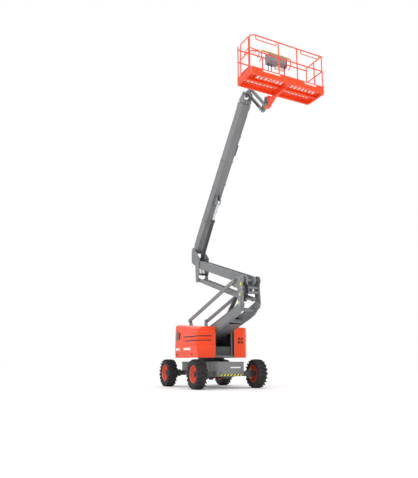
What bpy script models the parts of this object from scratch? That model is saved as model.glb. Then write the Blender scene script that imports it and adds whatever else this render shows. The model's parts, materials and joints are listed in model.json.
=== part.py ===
"""Articulating boom lift: two-stage parallelogram risers, telescopic boom, jib and platform.

Metres, +Z up, +X towards the platform end, +Y to the machine's left.  Shapes are laid out
round the swing axis (X = 0, Y = 0), and the root empty then moves the whole machine so that
the middle of its bounding box stands on the world origin.
"""
import math

import bmesh
import bpy
from mathutils import Matrix, Vector

# ---- driving dimensions ------------------------------------------------------------------
wheelbase = 2.13
track = 2.03
tyre_radius = 0.4275
tyre_width = 0.32
rim_radius = 0.254
kingpin_half_spacing = 0.80
axle_half_depth = 0.075
ear_half_depth = 0.055
ear_inner = 0.085
ear_outer = 0.115
steer_arm = 0.19
hub_seat = 0.045
wheel_sides = 24

chassis_half_width = 0.46
chassis_bottom = 0.36
chassis_top = 0.78
chassis_front = 1.30
chassis_rear = -1.27

bearing_radius = 0.42
bearing_height = 0.13
deck_thickness = 0.05
deck_half_width = 0.78

hood_rear = -0.96
hood_front = 0.90
hood_half_width = 0.87
hood_inner = 0.333
hood_bottom = 0.90
hood_crease_rise = 0.40
hood_top_rear = 1.97
hood_top_front = 1.82
hood_wall = 0.018
hood_shoulder = 0.13
hood_corner = 0.25
hinge_radius = 0.012
hinge_stations = (-0.75, 0.62)
tail_length = 0.29
tail_half_width = 0.60
tail_top = 1.50
vent_size = 0.075

riser_length = 3.20
riser_angle = math.radians(17.5)
arm_pivot = (-0.67, 1.39)
link_foot = (-0.28, 0.73)
upper_link_rise = 0.18
upper_beam_rise = 0.72
arm_plate = (0.235, 0.265)
knuckle_plate = (0.273, 0.297)
link_span = (0.305, 0.345)
beam_span = (0.095, 0.160)
upper_link_span = (0.100, 0.155)
upright_plate = (0.168, 0.190)
link_depth = 0.11
beam_depth = 0.26
upper_link_depth = 0.12
pin_radius = 0.032

riser_ram_base = 1.55
riser_ram_eye = (-0.38, 0.65)
riser_ram_radius = 0.062
ram_eye_half = 0.040

boom_pivot = (-0.33, 0.516)
boom_angle = math.radians(51.5)
boom_length = 5.30
boom_width = 0.26
boom_depth = 0.32
fly_width = 0.22
fly_depth = 0.275
fly_wall = 0.010
fly_reach = 0.30
fly_tail = 1.10
fly_stroke = 2.30
boom_ram_base = (-0.02, 0.176)
boom_ram_eye = (2.04, -0.33)
boom_ram_radius = 0.062

jib_length = 1.17
jib_angle = math.radians(-49.5)
jib_link_offset = (0.04, 0.10)
ear_span = (0.122, 0.145)
jib_tube_size = 0.07
jib_tube_inner = 0.042
jib_pin_radius = 0.026

rotator_reach = 0.22
drum_height = 0.24
platform_reach = 1.807
platform_bottom = 8.186
platform_length = 2.44
platform_width = 0.76
floor_depth = 0.10
floor_sheet = 0.012
toe_height = 0.11
rail_height = 1.10
mid_rail_rise = 0.61
boom_side_drop = 0.08
corner_cut = 0.09
rail_radius = 0.017
post_inset = 0.031
gate_rail_radius = 0.0153
gate_post_step = 0.136
hand_holds = ((-1.04, -0.38), (0.45, 1.10))

running_gap = 0.006
seat_gap = 0.0003
pin_gap = 0.0009
boss_proud = 0.0015

# ---- positions worked out from them ------------------------------------------------------
front_axle_x = wheelbase / 2
wheel_y = track / 2
deck_bottom = chassis_top + bearing_height + seat_gap
deck_top = deck_bottom + deck_thickness


def along(start, angle, length, rise=0.0):
    """Point at a length along a line in the XZ plane, with a rise square to it."""
    c, s = math.cos(angle), math.sin(angle)
    return (start[0] + length * c - rise * s, start[1] + length * s + rise * c)


def shift(start, offset):
    return (start[0] + offset[0], start[1] + offset[1])


arm_end = along(arm_pivot, riser_angle, riser_length)
link_start = shift(arm_pivot, link_foot)
link_end = shift(arm_end, link_foot)
beam_start = shift(arm_end, (0, upper_beam_rise))
upper_link_start = shift(arm_end, (0, upper_link_rise))
back_angle = math.pi - riser_angle
beam_end = along(beam_start, back_angle, riser_length)
upper_link_end = along(upper_link_start, back_angle, riser_length)
boom_foot = shift(beam_end, boom_pivot)
riser_ram_foot = along(arm_pivot, riser_angle, riser_ram_base)
riser_ram_head = shift(arm_end, riser_ram_eye)
boom_ram_foot = shift(beam_end, boom_ram_base)
boom_ram_head = along(boom_foot, boom_angle, *boom_ram_eye)
jib_foot = along(boom_foot, boom_angle, boom_length + fly_reach)
platform_x = jib_foot[0] + platform_reach
floor_top = platform_bottom + floor_depth
rail_top = floor_top + rail_height
gate_hinge_x = platform_x + platform_width / 2 - post_inset - gate_post_step

machine_rear = min(hood_rear - tail_length, -front_axle_x - tyre_radius)
machine_front = platform_x + platform_width / 2 + 0.001
root_x = -(machine_rear + machine_front) / 2


# ---- materials ---------------------------------------------------------------------------
def make_material(name, colour, roughness, metallic=0.0):
    material = bpy.data.materials.new(name)
    material.use_nodes = True
    shader = material.node_tree.nodes["Principled BSDF"]
    shader.inputs["Base Color"].default_value = (*colour, 1.0)
    shader.inputs["Roughness"].default_value = roughness
    shader.inputs["Metallic"].default_value = metallic
    return material


# ---- shape helpers -----------------------------------------------------------------------
def as_object(mesh_maker):
    shape = bmesh.new()
    mesh_maker(shape)
    bmesh.ops.recalc_face_normals(shape, faces=shape.faces)
    mesh = bpy.data.meshes.new("piece")
    shape.to_mesh(mesh)
    shape.free()
    piece = bpy.data.objects.new("piece", mesh)
    bpy.context.scene.collection.objects.link(piece)
    return piece


def prism(points, direction):
    """A flat outline of 3-D points, pulled along a direction."""
    def make(shape):
        face = shape.faces.new([shape.verts.new(point) for point in points])
        pulled = bmesh.ops.extrude_face_region(shape, geom=[face])
        verts = [v for v in pulled["geom"] if isinstance(v, bmesh.types.BMVert)]
        bmesh.ops.translate(shape, verts=verts, vec=direction)
    return as_object(make)


def side_plate(outline, y_low, y_high):
    """An XZ outline between two Y positions."""
    return prism([(x, y_low, z) for x, z in outline], (0, y_high - y_low, 0))


def plan_plate(outline, z_low, z_high):
    """An XY outline between two heights."""
    return prism([(x, y, z_low) for x, y in outline], (0, 0, z_high - z_low))


def block(x_range, y_range, z_range):
    (x0, x1), (y0, y1) = x_range, y_range
    return plan_plate([(x0, y0), (x1, y0), (x1, y1), (x0, y1)], *z_range)


def rod(start, end, radius, sides=16):
    """A round bar between two 3-D points."""
    start, end = Vector(start), Vector(end)
    turn = (end - start).to_track_quat("Z", "X").to_matrix().to_4x4()
    place = Matrix.Translation((start + end) / 2) @ turn

    def make(shape):
        bmesh.ops.create_cone(shape, cap_ends=True, segments=sides, radius1=radius,
                              radius2=radius, depth=(end - start).length, matrix=place)
    return as_object(make)


def cross_pin(point, y_low, y_high, radius=pin_radius, sides=16):
    return rod((point[0], y_low, point[1]), (point[0], y_high, point[1]), radius, sides)


def boss(point, y_low, y_high, radius, sides=20):
    """A round eye that stands a little proud of the bar it ends."""
    return cross_pin(point, y_low - boss_proud, y_high + boss_proud, radius, sides)


def beam(start, end, y_low, y_high, depth, overrun=0.0):
    """A rectangular bar between two XZ points."""
    angle = math.atan2(end[1] - start[1], end[0] - start[0])
    length = math.dist(start, end)
    corners = [(-overrun, -depth / 2), (length + overrun, -depth / 2),
               (length + overrun, depth / 2), (-overrun, depth / 2)]
    return side_plate([along(start, angle, u, v) for u, v in corners], y_low, y_high)


def pipe(points, radius, sides=8):
    """A round tube through 3-D points, with mitred bends and closed ends."""
    curve = bpy.data.curves.new("pipe", "CURVE")
    curve.dimensions = "3D"
    spline = curve.splines.new("POLY")
    spline.points.add(len(points) - 1)
    for spot, point in zip(spline.points, points):
        spot.co = (*point, 1)
    curve.bevel_depth = radius
    curve.bevel_resolution = sides // 4
    curve.use_fill_caps = True
    holder = bpy.data.objects.new("pipe", curve)
    bpy.context.scene.collection.objects.link(holder)
    piece = bpy.data.objects.new("piece", bpy.data.meshes.new_from_object(holder))
    bpy.context.scene.collection.objects.link(piece)
    bpy.data.objects.remove(holder)
    weld_seams(piece.data)
    return piece


def weld_seams(mesh):
    shape = bmesh.new()
    shape.from_mesh(mesh)
    bmesh.ops.remove_doubles(shape, verts=shape.verts, dist=0.00001)
    bmesh.ops.recalc_face_normals(shape, faces=shape.faces)
    shape.to_mesh(mesh)
    shape.free()


def turned(profile, centre, sides=32):
    """A closed (radius, y) profile turned round the Y axis through a centre point."""
    def make(shape):
        verts = [shape.verts.new((r, y, 0)) for r, y in profile]
        edges = [shape.edges.new((verts[i - 1], verts[i])) for i in range(len(verts))]
        bmesh.ops.spin(shape, geom=verts + edges, cent=(0, 0, 0), axis=(0, 1, 0),
                       angle=math.tau, steps=sides)
        bmesh.ops.remove_doubles(shape, verts=shape.verts, dist=0.00001)
        bmesh.ops.translate(shape, verts=shape.verts, vec=centre)
    return as_object(make)


def arc(centre, radius, start, end, steps):
    """Points on a circle between two angles in degrees."""
    spots = [math.radians(start + (end - start) * i / steps) for i in range(steps + 1)]
    return [(centre[0] + radius * math.cos(a), centre[1] + radius * math.sin(a))
            for a in spots]


def combine(body, others, operation):
    if not others:
        return
    group = bpy.data.collections.new("operands")
    for other in others:
        group.objects.link(other)
    step = body.modifiers.new(operation, "BOOLEAN")
    step.operation = operation
    step.operand_type = "COLLECTION"
    step.collection = group
    step.solver = "EXACT"
    graph = bpy.context.evaluated_depsgraph_get()
    mesh = bpy.data.meshes.new_from_object(body.evaluated_get(graph))
    body.modifiers.clear()
    body.data = mesh
    for other in others:
        bpy.data.objects.remove(other)
    bpy.data.collections.remove(group)


def part(name, material, pieces, cuts=(), pivot=(0, 0, 0)):
    """Join the pieces into one named solid whose origin is its pivot."""
    body = pieces[0]
    combine(body, pieces[1:], "UNION")
    combine(body, list(cuts), "DIFFERENCE")
    weld_seams(body.data)
    body.name = name
    body.data.name = name
    body.data.transform(Matrix.Translation(-Vector(pivot)))
    body.data.materials.clear()
    body.data.materials.append(material)
    body.data.shade_smooth()
    body.data.set_sharp_from_angle(angle=math.radians(35))
    body.parent = root
    body.location = pivot
    return body


def at(point, y=0.0):
    return (point[0], y, point[1])


def mirrored(span):
    """The same Y span on the right and on the left of the centre plane."""
    return [(-span[1], -span[0]), span]


for old in list(bpy.data.objects):
    bpy.data.objects.remove(old)
root = bpy.data.objects.new("machine", None)
bpy.context.scene.collection.objects.link(root)
root.location = (root_x, 0, 0)

orange_paint = make_material("orange paint", (0.95, 0.12, 0.035), 0.38)
grey_paint = make_material("grey paint", (0.21, 0.215, 0.22), 0.45)
dark_paint = make_material("dark paint", (0.045, 0.047, 0.05), 0.5)
tyre_rubber = make_material("tyre rubber", (0.013, 0.013, 0.014), 0.85)
chrome = make_material("chrome", (0.60, 0.62, 0.64), 0.15, 1.0)
cast_iron = make_material("cast iron", (0.05, 0.05, 0.052), 0.65, 0.4)
plastic_grey = make_material("grey plastic", (0.28, 0.30, 0.32), 0.5)


# ---- chassis -----------------------------------------------------------------------------
def build_chassis():
    half, corner = chassis_half_width, 0.05
    outline = [(chassis_rear, -half + corner), (chassis_rear + corner, -half),
               (chassis_front - corner, -half), (chassis_front, -half + corner),
               (chassis_front, half - corner), (chassis_front - corner, half),
               (chassis_rear + corner, half), (chassis_rear, half - corner)]
    pieces = [plan_plate(outline, chassis_bottom, chassis_top)]
    axle_slots = []
    for x in (-front_axle_x, front_axle_x):
        axle_slots.append(block((x - axle_half_depth - seat_gap, x + axle_half_depth + seat_gap),
                                (-1, 1),
                                (0, tyre_radius + axle_half_depth + seat_gap)))
    axle_slots.append(block((front_axle_x - steer_arm - 0.09, front_axle_x), (-1, 1),
                            (0, tyre_radius + 0.05)))
    part("chassis_frame", grey_paint, pieces, axle_slots)


def build_axles():
    beam_end_y = kingpin_half_spacing - 0.07
    z0, z1 = tyre_radius - axle_half_depth, tyre_radius + axle_half_depth
    x = front_axle_x
    pieces = [block((x - axle_half_depth, x + axle_half_depth), (-beam_end_y, beam_end_y),
                    (z0, z1))]
    for side in (-1, 1):
        yoke = sorted((side * (beam_end_y - 0.04), side * (beam_end_y + 0.005)))
        ear = sorted((side * (beam_end_y - 0.04), side * (kingpin_half_spacing + 0.05)))
        pieces.append(block((x - ear_half_depth, x + ear_half_depth), yoke,
                            (tyre_radius - ear_outer, tyre_radius + ear_outer)))
        for low, high in ((ear_inner, ear_outer), (-ear_outer, -ear_inner)):
            pieces.append(block((x - ear_half_depth, x + ear_half_depth), ear,
                                (tyre_radius + low, tyre_radius + high)))
    part("front_axle", dark_paint, pieces, pivot=(x, 0, tyre_radius))
    x = -front_axle_x
    hub_y = wheel_y - hub_seat - seat_gap
    pieces = [block((x - axle_half_depth, x + axle_half_depth), (-0.70, 0.70), (z0, z1))]
    for side in (-1, 1):
        pieces.append(rod((x, side * 0.60, tyre_radius), (x, side * hub_y, tyre_radius), 0.11, 24))
    part("rear_axle", dark_paint, pieces, pivot=(x, 0, tyre_radius))


def build_knuckles():
    x, y, z = front_axle_x, kingpin_half_spacing, tyre_radius
    for side, name in ((1, "left"), (-1, "right")):
        low = ear_inner - 0.001
        hub_end = wheel_y - hub_seat - seat_gap
        arm_y = sorted((side * y, side * (y + 0.04)))
        pieces = [rod((x, side * y, z - low), (x, side * y, z + low), 0.045, 20),
                  rod((x, side * (y + 0.025), z), (x, side * hub_end, z), 0.075, 24),
                  block((x - steer_arm, x), arm_y, (z - 0.03, z + 0.0))]
        part("steer_knuckle_" + name, dark_paint, pieces, pivot=(x, side * y, z))


def build_tie_rod():
    x, y, z = front_axle_x - steer_arm + 0.03, kingpin_half_spacing, tyre_radius - 0.03
    rod_z = z - 0.028
    pieces = [rod((x, -y, rod_z), (x, y, rod_z), 0.019, 12)]
    for side in (-1, 1):
        pieces.append(rod((x, side * y, rod_z - 0.026), (x, side * y, z - seat_gap), 0.026, 16))
    part("tie_rod", dark_paint, pieces, pivot=(x, y, rod_z))


def build_wheels():
    half = tyre_width / 2
    shoulder = tyre_radius - 0.035
    tyre_profile = [(rim_radius, -half + 0.035), (rim_radius + 0.05, -half), (shoulder, -half + 0.004),
                    (tyre_radius, -half + 0.045), (tyre_radius, half - 0.045),
                    (shoulder, half - 0.004), (rim_radius + 0.05, half),
                    (rim_radius, half - 0.035)]
    seat = rim_radius - seat_gap
    lip = half - 0.030
    for x, end in ((front_axle_x, "front"), (-front_axle_x, "rear")):
        for side, name in ((1, "left"), (-1, "right")):
            centre = (x, side * wheel_y, tyre_radius)
            part(f"tyre_{end}_{name}", tyre_rubber, [turned(tyre_profile, centre, wheel_sides)],
                 pivot=centre)
            disc = hub_seat
            rim_profile = [(seat, -lip), (seat, lip), (seat - 0.018, lip),
                           (seat - 0.032, disc), (0.12, disc), (0.11, disc + 0.055),
                           (0.0, disc + 0.055), (0.0, -disc),
                           (0.13, -disc), (0.15, disc - 0.03), (seat - 0.034, disc - 0.03),
                           (seat - 0.020, -lip)]
            rim_profile = [(r, side * y) for r, y in rim_profile]
            part(f"rim_{end}_{name}", orange_paint, [turned(rim_profile, centre, wheel_sides)],
                 pivot=centre)


# ---- turntable ---------------------------------------------------------------------------
def build_bearing():
    low = chassis_top + seat_gap
    pieces = [rod((0, 0, low), (0, 0, deck_bottom - seat_gap), bearing_radius, 40)]
    part("swing_bearing", dark_paint, pieces)


def build_deck():
    front, rear = hood_front - hood_wall - 0.04, hood_rear + hood_wall + 0.04
    width = deck_half_width
    outline = ([(rear, -width), (front - hood_corner, -width)]
               + arc((front - hood_corner, -width + hood_corner), hood_corner, -90, 0, 5)
               + arc((front - hood_corner, width - hood_corner), hood_corner, 0, 90, 5)
               + [(rear, width)])
    pieces = [plan_plate(outline, deck_bottom, deck_top)]
    turret = ([(rear + 0.02, deck_bottom + 0.01), (front - 0.35, deck_bottom + 0.01),
               (front - 0.35, deck_top + 0.18), (arm_pivot[0] + 0.22, arm_pivot[1] - 0.05)]
              + arc(arm_pivot, 0.15, 0, 60, 3)
              + arc(link_start, 0.075, 20, 200, 6)
              + [(link_start[0] - 0.10, arm_pivot[1] + 0.10), (rear - 0.06, deck_bottom + 0.30)])
    for low, high in mirrored(knuckle_plate):
        pieces.append(side_plate(turret, low, high))
    for x, z in ((0.15, deck_top + 0.07), (-0.80, deck_top + 0.20)):
        pieces.append(cross_pin((x, z), -knuckle_plate[1] + 0.005, knuckle_plate[1] - 0.005,
                                0.05))
    for low, high in mirrored((knuckle_plate[0] + 0.005, link_span[1] + 0.010)):
        pieces.append(cross_pin(link_start, low, high, pin_radius))
    for low, high in mirrored((arm_plate[0] - 0.02, knuckle_plate[1] + 0.012)):
        pieces.append(cross_pin(arm_pivot, low, high, 0.045))
    for side in (-1, 1):
        pieces += hinge_rail(side)
    part("turntable_deck", grey_paint, pieces)


def build_counterweight():
    half, front = tail_half_width, hood_rear - running_gap
    tail = hood_rear - tail_length
    notch_y, notch_x = knuckle_plate[1] + 0.02, link_start[0] - 0.12
    outline = [(front, -half), (front, -notch_y), (notch_x, -notch_y), (notch_x, notch_y),
               (front, notch_y), (front, half), (tail + 0.14, half), (tail, half - 0.24),
               (tail, -half + 0.24), (tail + 0.14, -half)]
    weight = plan_plate(outline, hood_bottom + 0.02, tail_top)
    tongue = block((notch_x - 0.02, hood_rear + hood_wall + 0.04 - seat_gap),
                   (-0.25, 0.25), (hood_bottom + 0.02, deck_top))
    part("counterweight", cast_iron, [weight, tongue])


def build_engine():
    base = deck_top + seat_gap
    pieces = [block((-0.70, 0.25), (0.40, 0.76), (base, base + 0.60)),
              block((-0.45, 0.10), (0.46, 0.70), (base + 0.55, base + 0.72))]
    part("engine_block", cast_iron, pieces)
    pieces = [block((-0.55, 0.30), (-0.76, -0.40), (base, base + 0.50)),
              rod((-0.35, -0.58, base + 0.45), (-0.35, -0.58, base + 0.56), 0.05, 16)]
    part("hydraulic_tank", dark_paint, pieces)


def hood_section(side, top, inset):
    """Outline in YZ, from the hinge edge over the shoulder and down the outer side."""
    inner, outer = hood_inner, hood_half_width - inset
    shoulder = hood_shoulder - inset * 0.5
    crease = hood_bottom + hood_crease_rise
    rounded = arc((outer - shoulder - 0.03, top - inset - shoulder), shoulder, 90, 0, 5)
    outline = ([(inner - (0.05 if inset else 0), top - inset)] + rounded
               + [(outer, crease), (outer - 0.035, hood_bottom - (0.05 if inset else 0)),
                  (inner - (0.05 if inset else 0), hood_bottom - (0.05 if inset else 0))])
    return [(side * y, z) for y, z in outline]


def hood_solid(side, inset):
    rear, front = hood_rear + inset, hood_front - inset
    back = hood_section(side, hood_top_rear, inset)
    face = hood_section(side, hood_top_front, inset)

    def make(shape):
        rows = [[shape.verts.new((x, y, z)) for y, z in section]
                for x, section in ((rear, back), (front, face))]
        shape.faces.new(rows[0])
        shape.faces.new(rows[1])
        for i in range(len(back)):
            shape.faces.new((rows[0][i - 1], rows[0][i], rows[1][i], rows[1][i - 1]))
    solid = as_object(make)
    radius = hood_corner - inset
    small = 0.10 - inset * 0.5
    outer = hood_half_width - inset
    plan = (arc((front - radius, outer - radius), radius, 0, 90, 6)
            + arc((rear + small, outer - small), small, 90, 180, 3)
            + [(rear, 0.1), (front, 0.1)])
    rounding = plan_plate([(x, side * y) for x, y in plan], hood_bottom - 0.2, hood_top_rear + 0.1)
    combine(solid, [rounding], "INTERSECT")
    return solid


def hinge_point(side, x):
    """Point at an X on a hood's hinge axis, which slopes along its top inner edge."""
    share = (x - hood_rear) / (hood_front - hood_rear)
    z = hood_top_rear + (hood_top_front - hood_top_rear) * share - hinge_radius
    return (x, side * (hood_inner - 0.004), z)


def hinge_barrels(side, spans, radius):
    return [rod(hinge_point(side, low), hinge_point(side, high), radius, 16)
            for low, high in spans]


def fixed_spans():
    return [(x - 0.03, x + 0.03) for x in hinge_stations]


def hood_spans():
    return [(x + s * 0.032, x + s * 0.065) for x in hinge_stations for s in (-1, 1)]


def hinge_rail(side):
    """Rail on the turntable that carries one hood's hinges, with its front post."""
    def wall(y_low, y_high, x_low, x_high, drop_low, drop_high):
        ends = [hinge_point(1, x)[2] for x in (x_low, x_high)]
        outline = [(x_low, ends[0] - drop_low), (x_high, ends[1] - drop_low),
                   (x_high, ends[1] - drop_high), (x_low, ends[0] - drop_high)]
        y_low, y_high = sorted((side * y_low, side * y_high))
        return side_plate(outline, y_low, y_high)
    rail_front = hood_front - hood_wall - 0.045
    inner = knuckle_plate[1]
    post_y = sorted((side * (inner - 0.02), side * (inner + 0.012)))
    post_top = hinge_point(1, rail_front)[2] - 0.01
    pieces = [wall(inner + 0.002, inner + 0.013, hood_rear + 0.02, rail_front, 0.035, 0.001),
              block((rail_front - 0.06, rail_front - 0.001), post_y, (deck_top - 0.01, post_top)),
              wall(inner - 0.01, inner + 0.006, hood_rear + 0.021, hood_rear + 0.07, 0.03, 0.005)]
    for low, high in fixed_spans():
        pieces.append(wall(inner + 0.004, hood_inner - 0.004, low, high, 0.011, 0.0005))
    return pieces + hinge_barrels(side, fixed_spans(), hinge_radius)


def build_hoods():
    vent = vent_size
    for side, name in ((1, "left"), (-1, "right")):
        cuts = [hood_solid(side, hood_wall)]
        if side > 0:
            for row in (0, 1):
                for column in (0, 1):
                    y = 0.47 + column * (vent + 0.03)
                    z = 1.33 + row * (vent + 0.03)
                    cuts.append(block((hood_front - 0.05, hood_front + 0.05), (y, y + vent),
                                      (z, z + vent)))
        wider = [(low - 0.0015, high + 0.0015) for low, high in fixed_spans()]
        cuts += hinge_barrels(side, wider, hinge_radius + pin_gap)
        pieces = [hood_solid(side, 0.0)] + hinge_barrels(side, hood_spans(), hinge_radius - 0.001)
        part("hood_" + name, orange_paint, pieces, cuts, pivot=hinge_point(side, 0))


# ---- risers ------------------------------------------------------------------------------
def build_lower_arm():
    front = riser_length
    outline = ([(-0.13, -0.09), (0.30, -0.17), (front - 0.50, -0.22), (front - 0.20, -0.21)]
               + arc((front, 0), 0.13, -65, 100, 8)
               + [(front - 0.50, 0.10), (0.30, 0.15), (0.05, 0.14), (-0.13, 0.08)])
    outline = [along(arm_pivot, riser_angle, u, v) for u, v in outline]
    pieces = [side_plate(outline, low, high) for low, high in mirrored(arm_plate)]
    half = arm_plate[0] + 0.01
    for u, v, radius in ((0.45, -0.06, 0.055), (1.00, -0.10, 0.05), (2.30, -0.13, 0.05),
                         (front - 0.16, -0.07, 0.05)):
        pieces.append(cross_pin(along(arm_pivot, riser_angle, u, v), -half, half, radius))
    pieces.append(cross_pin(riser_ram_foot, 0.085, half, 0.05))
    pieces.append(cross_pin(riser_ram_foot, -half, -0.085, 0.05))
    pieces.append(cross_pin(riser_ram_foot, -0.09, 0.09, 0.028))
    spine = beam(along(arm_pivot, riser_angle, 0.40, -0.135),
                 along(arm_pivot, riser_angle, front - 1.00, -0.19), -half, half, 0.012)
    pieces.append(spine)
    bore = [cross_pin(arm_pivot, -0.3, 0.3, 0.045 + pin_gap, 24),
            cross_pin(arm_end, -0.3, 0.3, 0.045 + pin_gap, 24)]
    part("lower_riser_arm", grey_paint, pieces, bore, pivot=at(arm_pivot))


def build_links():
    for span, name in zip(mirrored(link_span), ("right", "left")):
        bores = [cross_pin(p, span[0] - 0.01, span[1] + 0.01, pin_radius + pin_gap)
                 for p in (link_start, link_end)]
        pieces = [beam(link_start, link_end, *span, link_depth, 0.0),
                  boss(link_start, *span, link_depth * 0.56),
                  boss(link_end, *span, link_depth * 0.56)]
        part("riser_link_" + name, grey_paint, pieces, bores, pivot=at(link_start))


def build_mid_upright():
    outline = [(-0.12, -0.05), (-0.02, -0.11), (0.10, -0.08), (0.15, 0.05), (0.14, 0.22),
               (0.115, 0.42), (0.12, 0.60), (0.17, 0.70), (0.12, 0.82), (0.0, 0.86),
               (-0.30, 0.84), (-0.44, 0.74), (-0.46, 0.60), (-0.36, 0.54), (-0.18, 0.50),
               (-0.13, 0.30)]
    outline = [shift(arm_end, point) for point in outline]
    pieces = [side_plate(outline, low, high) for low, high in mirrored(knuckle_plate)]
    half = knuckle_plate[0] + 0.01
    for offset, radius in (((0.06, 0.36), 0.042), ((0.06, 0.50), 0.038)):
        pieces.append(cross_pin(shift(arm_end, offset), -half, half, radius))
    pieces.append(cross_pin(beam_start, -half, half, 0.04))
    pieces.append(cross_pin(upper_link_start, -half, half, pin_radius))
    lug = arc(riser_ram_head, 0.055, 80, 250, 6)
    lug += [shift(arm_end, (0.02, 0.34)), shift(arm_end, (0.09, 0.36)),
            shift(arm_end, (0.09, 0.50)), shift(arm_end, (0.02, 0.53))]
    for low, high in mirrored((ram_eye_half + running_gap, ram_eye_half + 0.030)):
        pieces.append(side_plate(lug, low, high))
    for low, high in mirrored((arm_plate[0] - 0.02, knuckle_plate[1] + 0.010)):
        pieces.append(cross_pin(arm_end, low, high, 0.045))
    for low, high in mirrored((half - 0.005, link_span[1] + 0.010)):
        pieces.append(cross_pin(link_end, low, high, pin_radius))
    part("mid_upright", grey_paint, pieces, pivot=at(arm_end))


def build_upper_riser():
    bores = [cross_pin(beam_start, -0.3, 0.3, 0.04 + pin_gap, 24),
             cross_pin(beam_end, -0.3, 0.3, 0.04 + pin_gap, 24)]
    pieces = []
    for span in mirrored(beam_span):
        pieces.append(beam(beam_start, beam_end, *span, beam_depth, 0.0))
        pieces.append(boss(beam_start, *span, 0.13))
        pieces.append(boss(beam_end, *span, 0.12))
    angle = back_angle
    for u in (0.75, 1.60, 2.45):
        low = along(beam_start, angle, u - 0.06, 0.085)
        high = along(beam_start, angle, u + 0.06, 0.085)
        pieces.append(beam(low, high, -beam_span[0] - 0.01, beam_span[0] + 0.01, 0.06))
    part("upper_riser_beam", grey_paint, pieces, bores, pivot=at(beam_start))
    bores = [cross_pin(upper_link_start, -0.3, 0.3, pin_radius + pin_gap),
             cross_pin(upper_link_end, -0.3, 0.3, pin_radius + pin_gap)]
    pieces = []
    for span in mirrored(upper_link_span):
        pieces.append(beam(upper_link_start, upper_link_end, *span, upper_link_depth, 0.0))
        pieces.append(boss(upper_link_start, *span, upper_link_depth * 0.56))
        pieces.append(boss(upper_link_end, *span, upper_link_depth * 0.56))
    for u in (1.9, 2.8):
        low = along(upper_link_start, angle, u - 0.04)
        high = along(upper_link_start, angle, u + 0.04)
        pieces.append(beam(low, high, -upper_link_span[0] - 0.01, upper_link_span[0] + 0.01, 0.06))
    part("upper_riser_link", grey_paint, pieces, bores, pivot=at(upper_link_start))


def build_boom_upright():
    foot, top, link = boom_foot, beam_end, upper_link_end
    outline = ([shift(link, (-0.10, -0.06)), shift(link, (-0.02, -0.10)),
                shift(link, (0.09, -0.06)), shift(link, (0.09, 0.12)),
                shift(top, (0.13, -0.10)), shift(top, (0.16, 0.20)), shift(top, (0.05, 0.30))]
               + [shift(foot, (0.12, 0.02)), shift(foot, (0.05, 0.12)),
                  shift(foot, (-0.06, 0.11)), shift(foot, (-0.12, 0.0)),
                  shift(top, (-0.44, 0.12)), shift(top, (-0.14, -0.05))])
    pieces = [side_plate(outline, low, high) for low, high in mirrored(upright_plate)]
    half = upright_plate[0] + 0.01
    pieces.append(cross_pin(foot, -half - 0.02, half + 0.02, 0.04))
    pieces.append(cross_pin(top, -half - 0.02, half + 0.02, 0.04))
    pieces.append(cross_pin(link, -half, half, pin_radius))
    pieces.append(cross_pin(boom_ram_foot, -half, half, 0.030))
    pieces.append(cross_pin(shift(link, (-0.03, 0.20)), -half, half, 0.03))
    part("boom_upright", grey_paint, pieces, pivot=at(top))


# ---- cylinders ---------------------------------------------------------------------------
def build_ram(name, foot, head, radius, barrel_length, tail_start, foot_pin, eye_width):
    """A barrel pinned at its foot, and a chrome rod whose eye stands between two lugs."""
    angle = math.atan2(head[1] - foot[1], head[0] - foot[0])
    length = math.dist(foot, head)
    barrel_end = at(along(foot, angle, barrel_length))
    rod_radius = radius * 0.55
    shell = [rod(at(along(foot, angle, 0.09)), barrel_end, radius, 24),
             rod(at(along(foot, angle, 0.03)), at(along(foot, angle, 0.11)), radius * 0.8, 24),
             cross_pin(foot, -eye_width, eye_width, foot_pin + 0.030, 20),
             rod(at(along(foot, angle, barrel_length - 0.08)), barrel_end, radius + 0.008, 24)]
    hollow = [rod(at(along(foot, angle, 0.14)), at(along(foot, angle, barrel_length + 0.1)),
                  rod_radius + pin_gap, 24),
              cross_pin(foot, -0.2, 0.2, foot_pin + pin_gap, 20)]
    part(name + "_barrel", dark_paint, shell, hollow, pivot=at(foot))
    tail = along(foot, angle, tail_start)
    shaft = [rod(at(tail), at(along(foot, angle, length - 0.03)), rod_radius, 24),
             cross_pin(head, -ram_eye_half, ram_eye_half, 0.055, 20)]
    part(name + "_rod", chrome, shaft, pivot=at(head))


# ---- boom --------------------------------------------------------------------------------
def boom_box(start, end, width, depth, rise=0.0):
    return beam(along(boom_foot, boom_angle, start, rise), along(boom_foot, boom_angle, end, rise),
                -width / 2, width / 2, depth)


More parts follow.
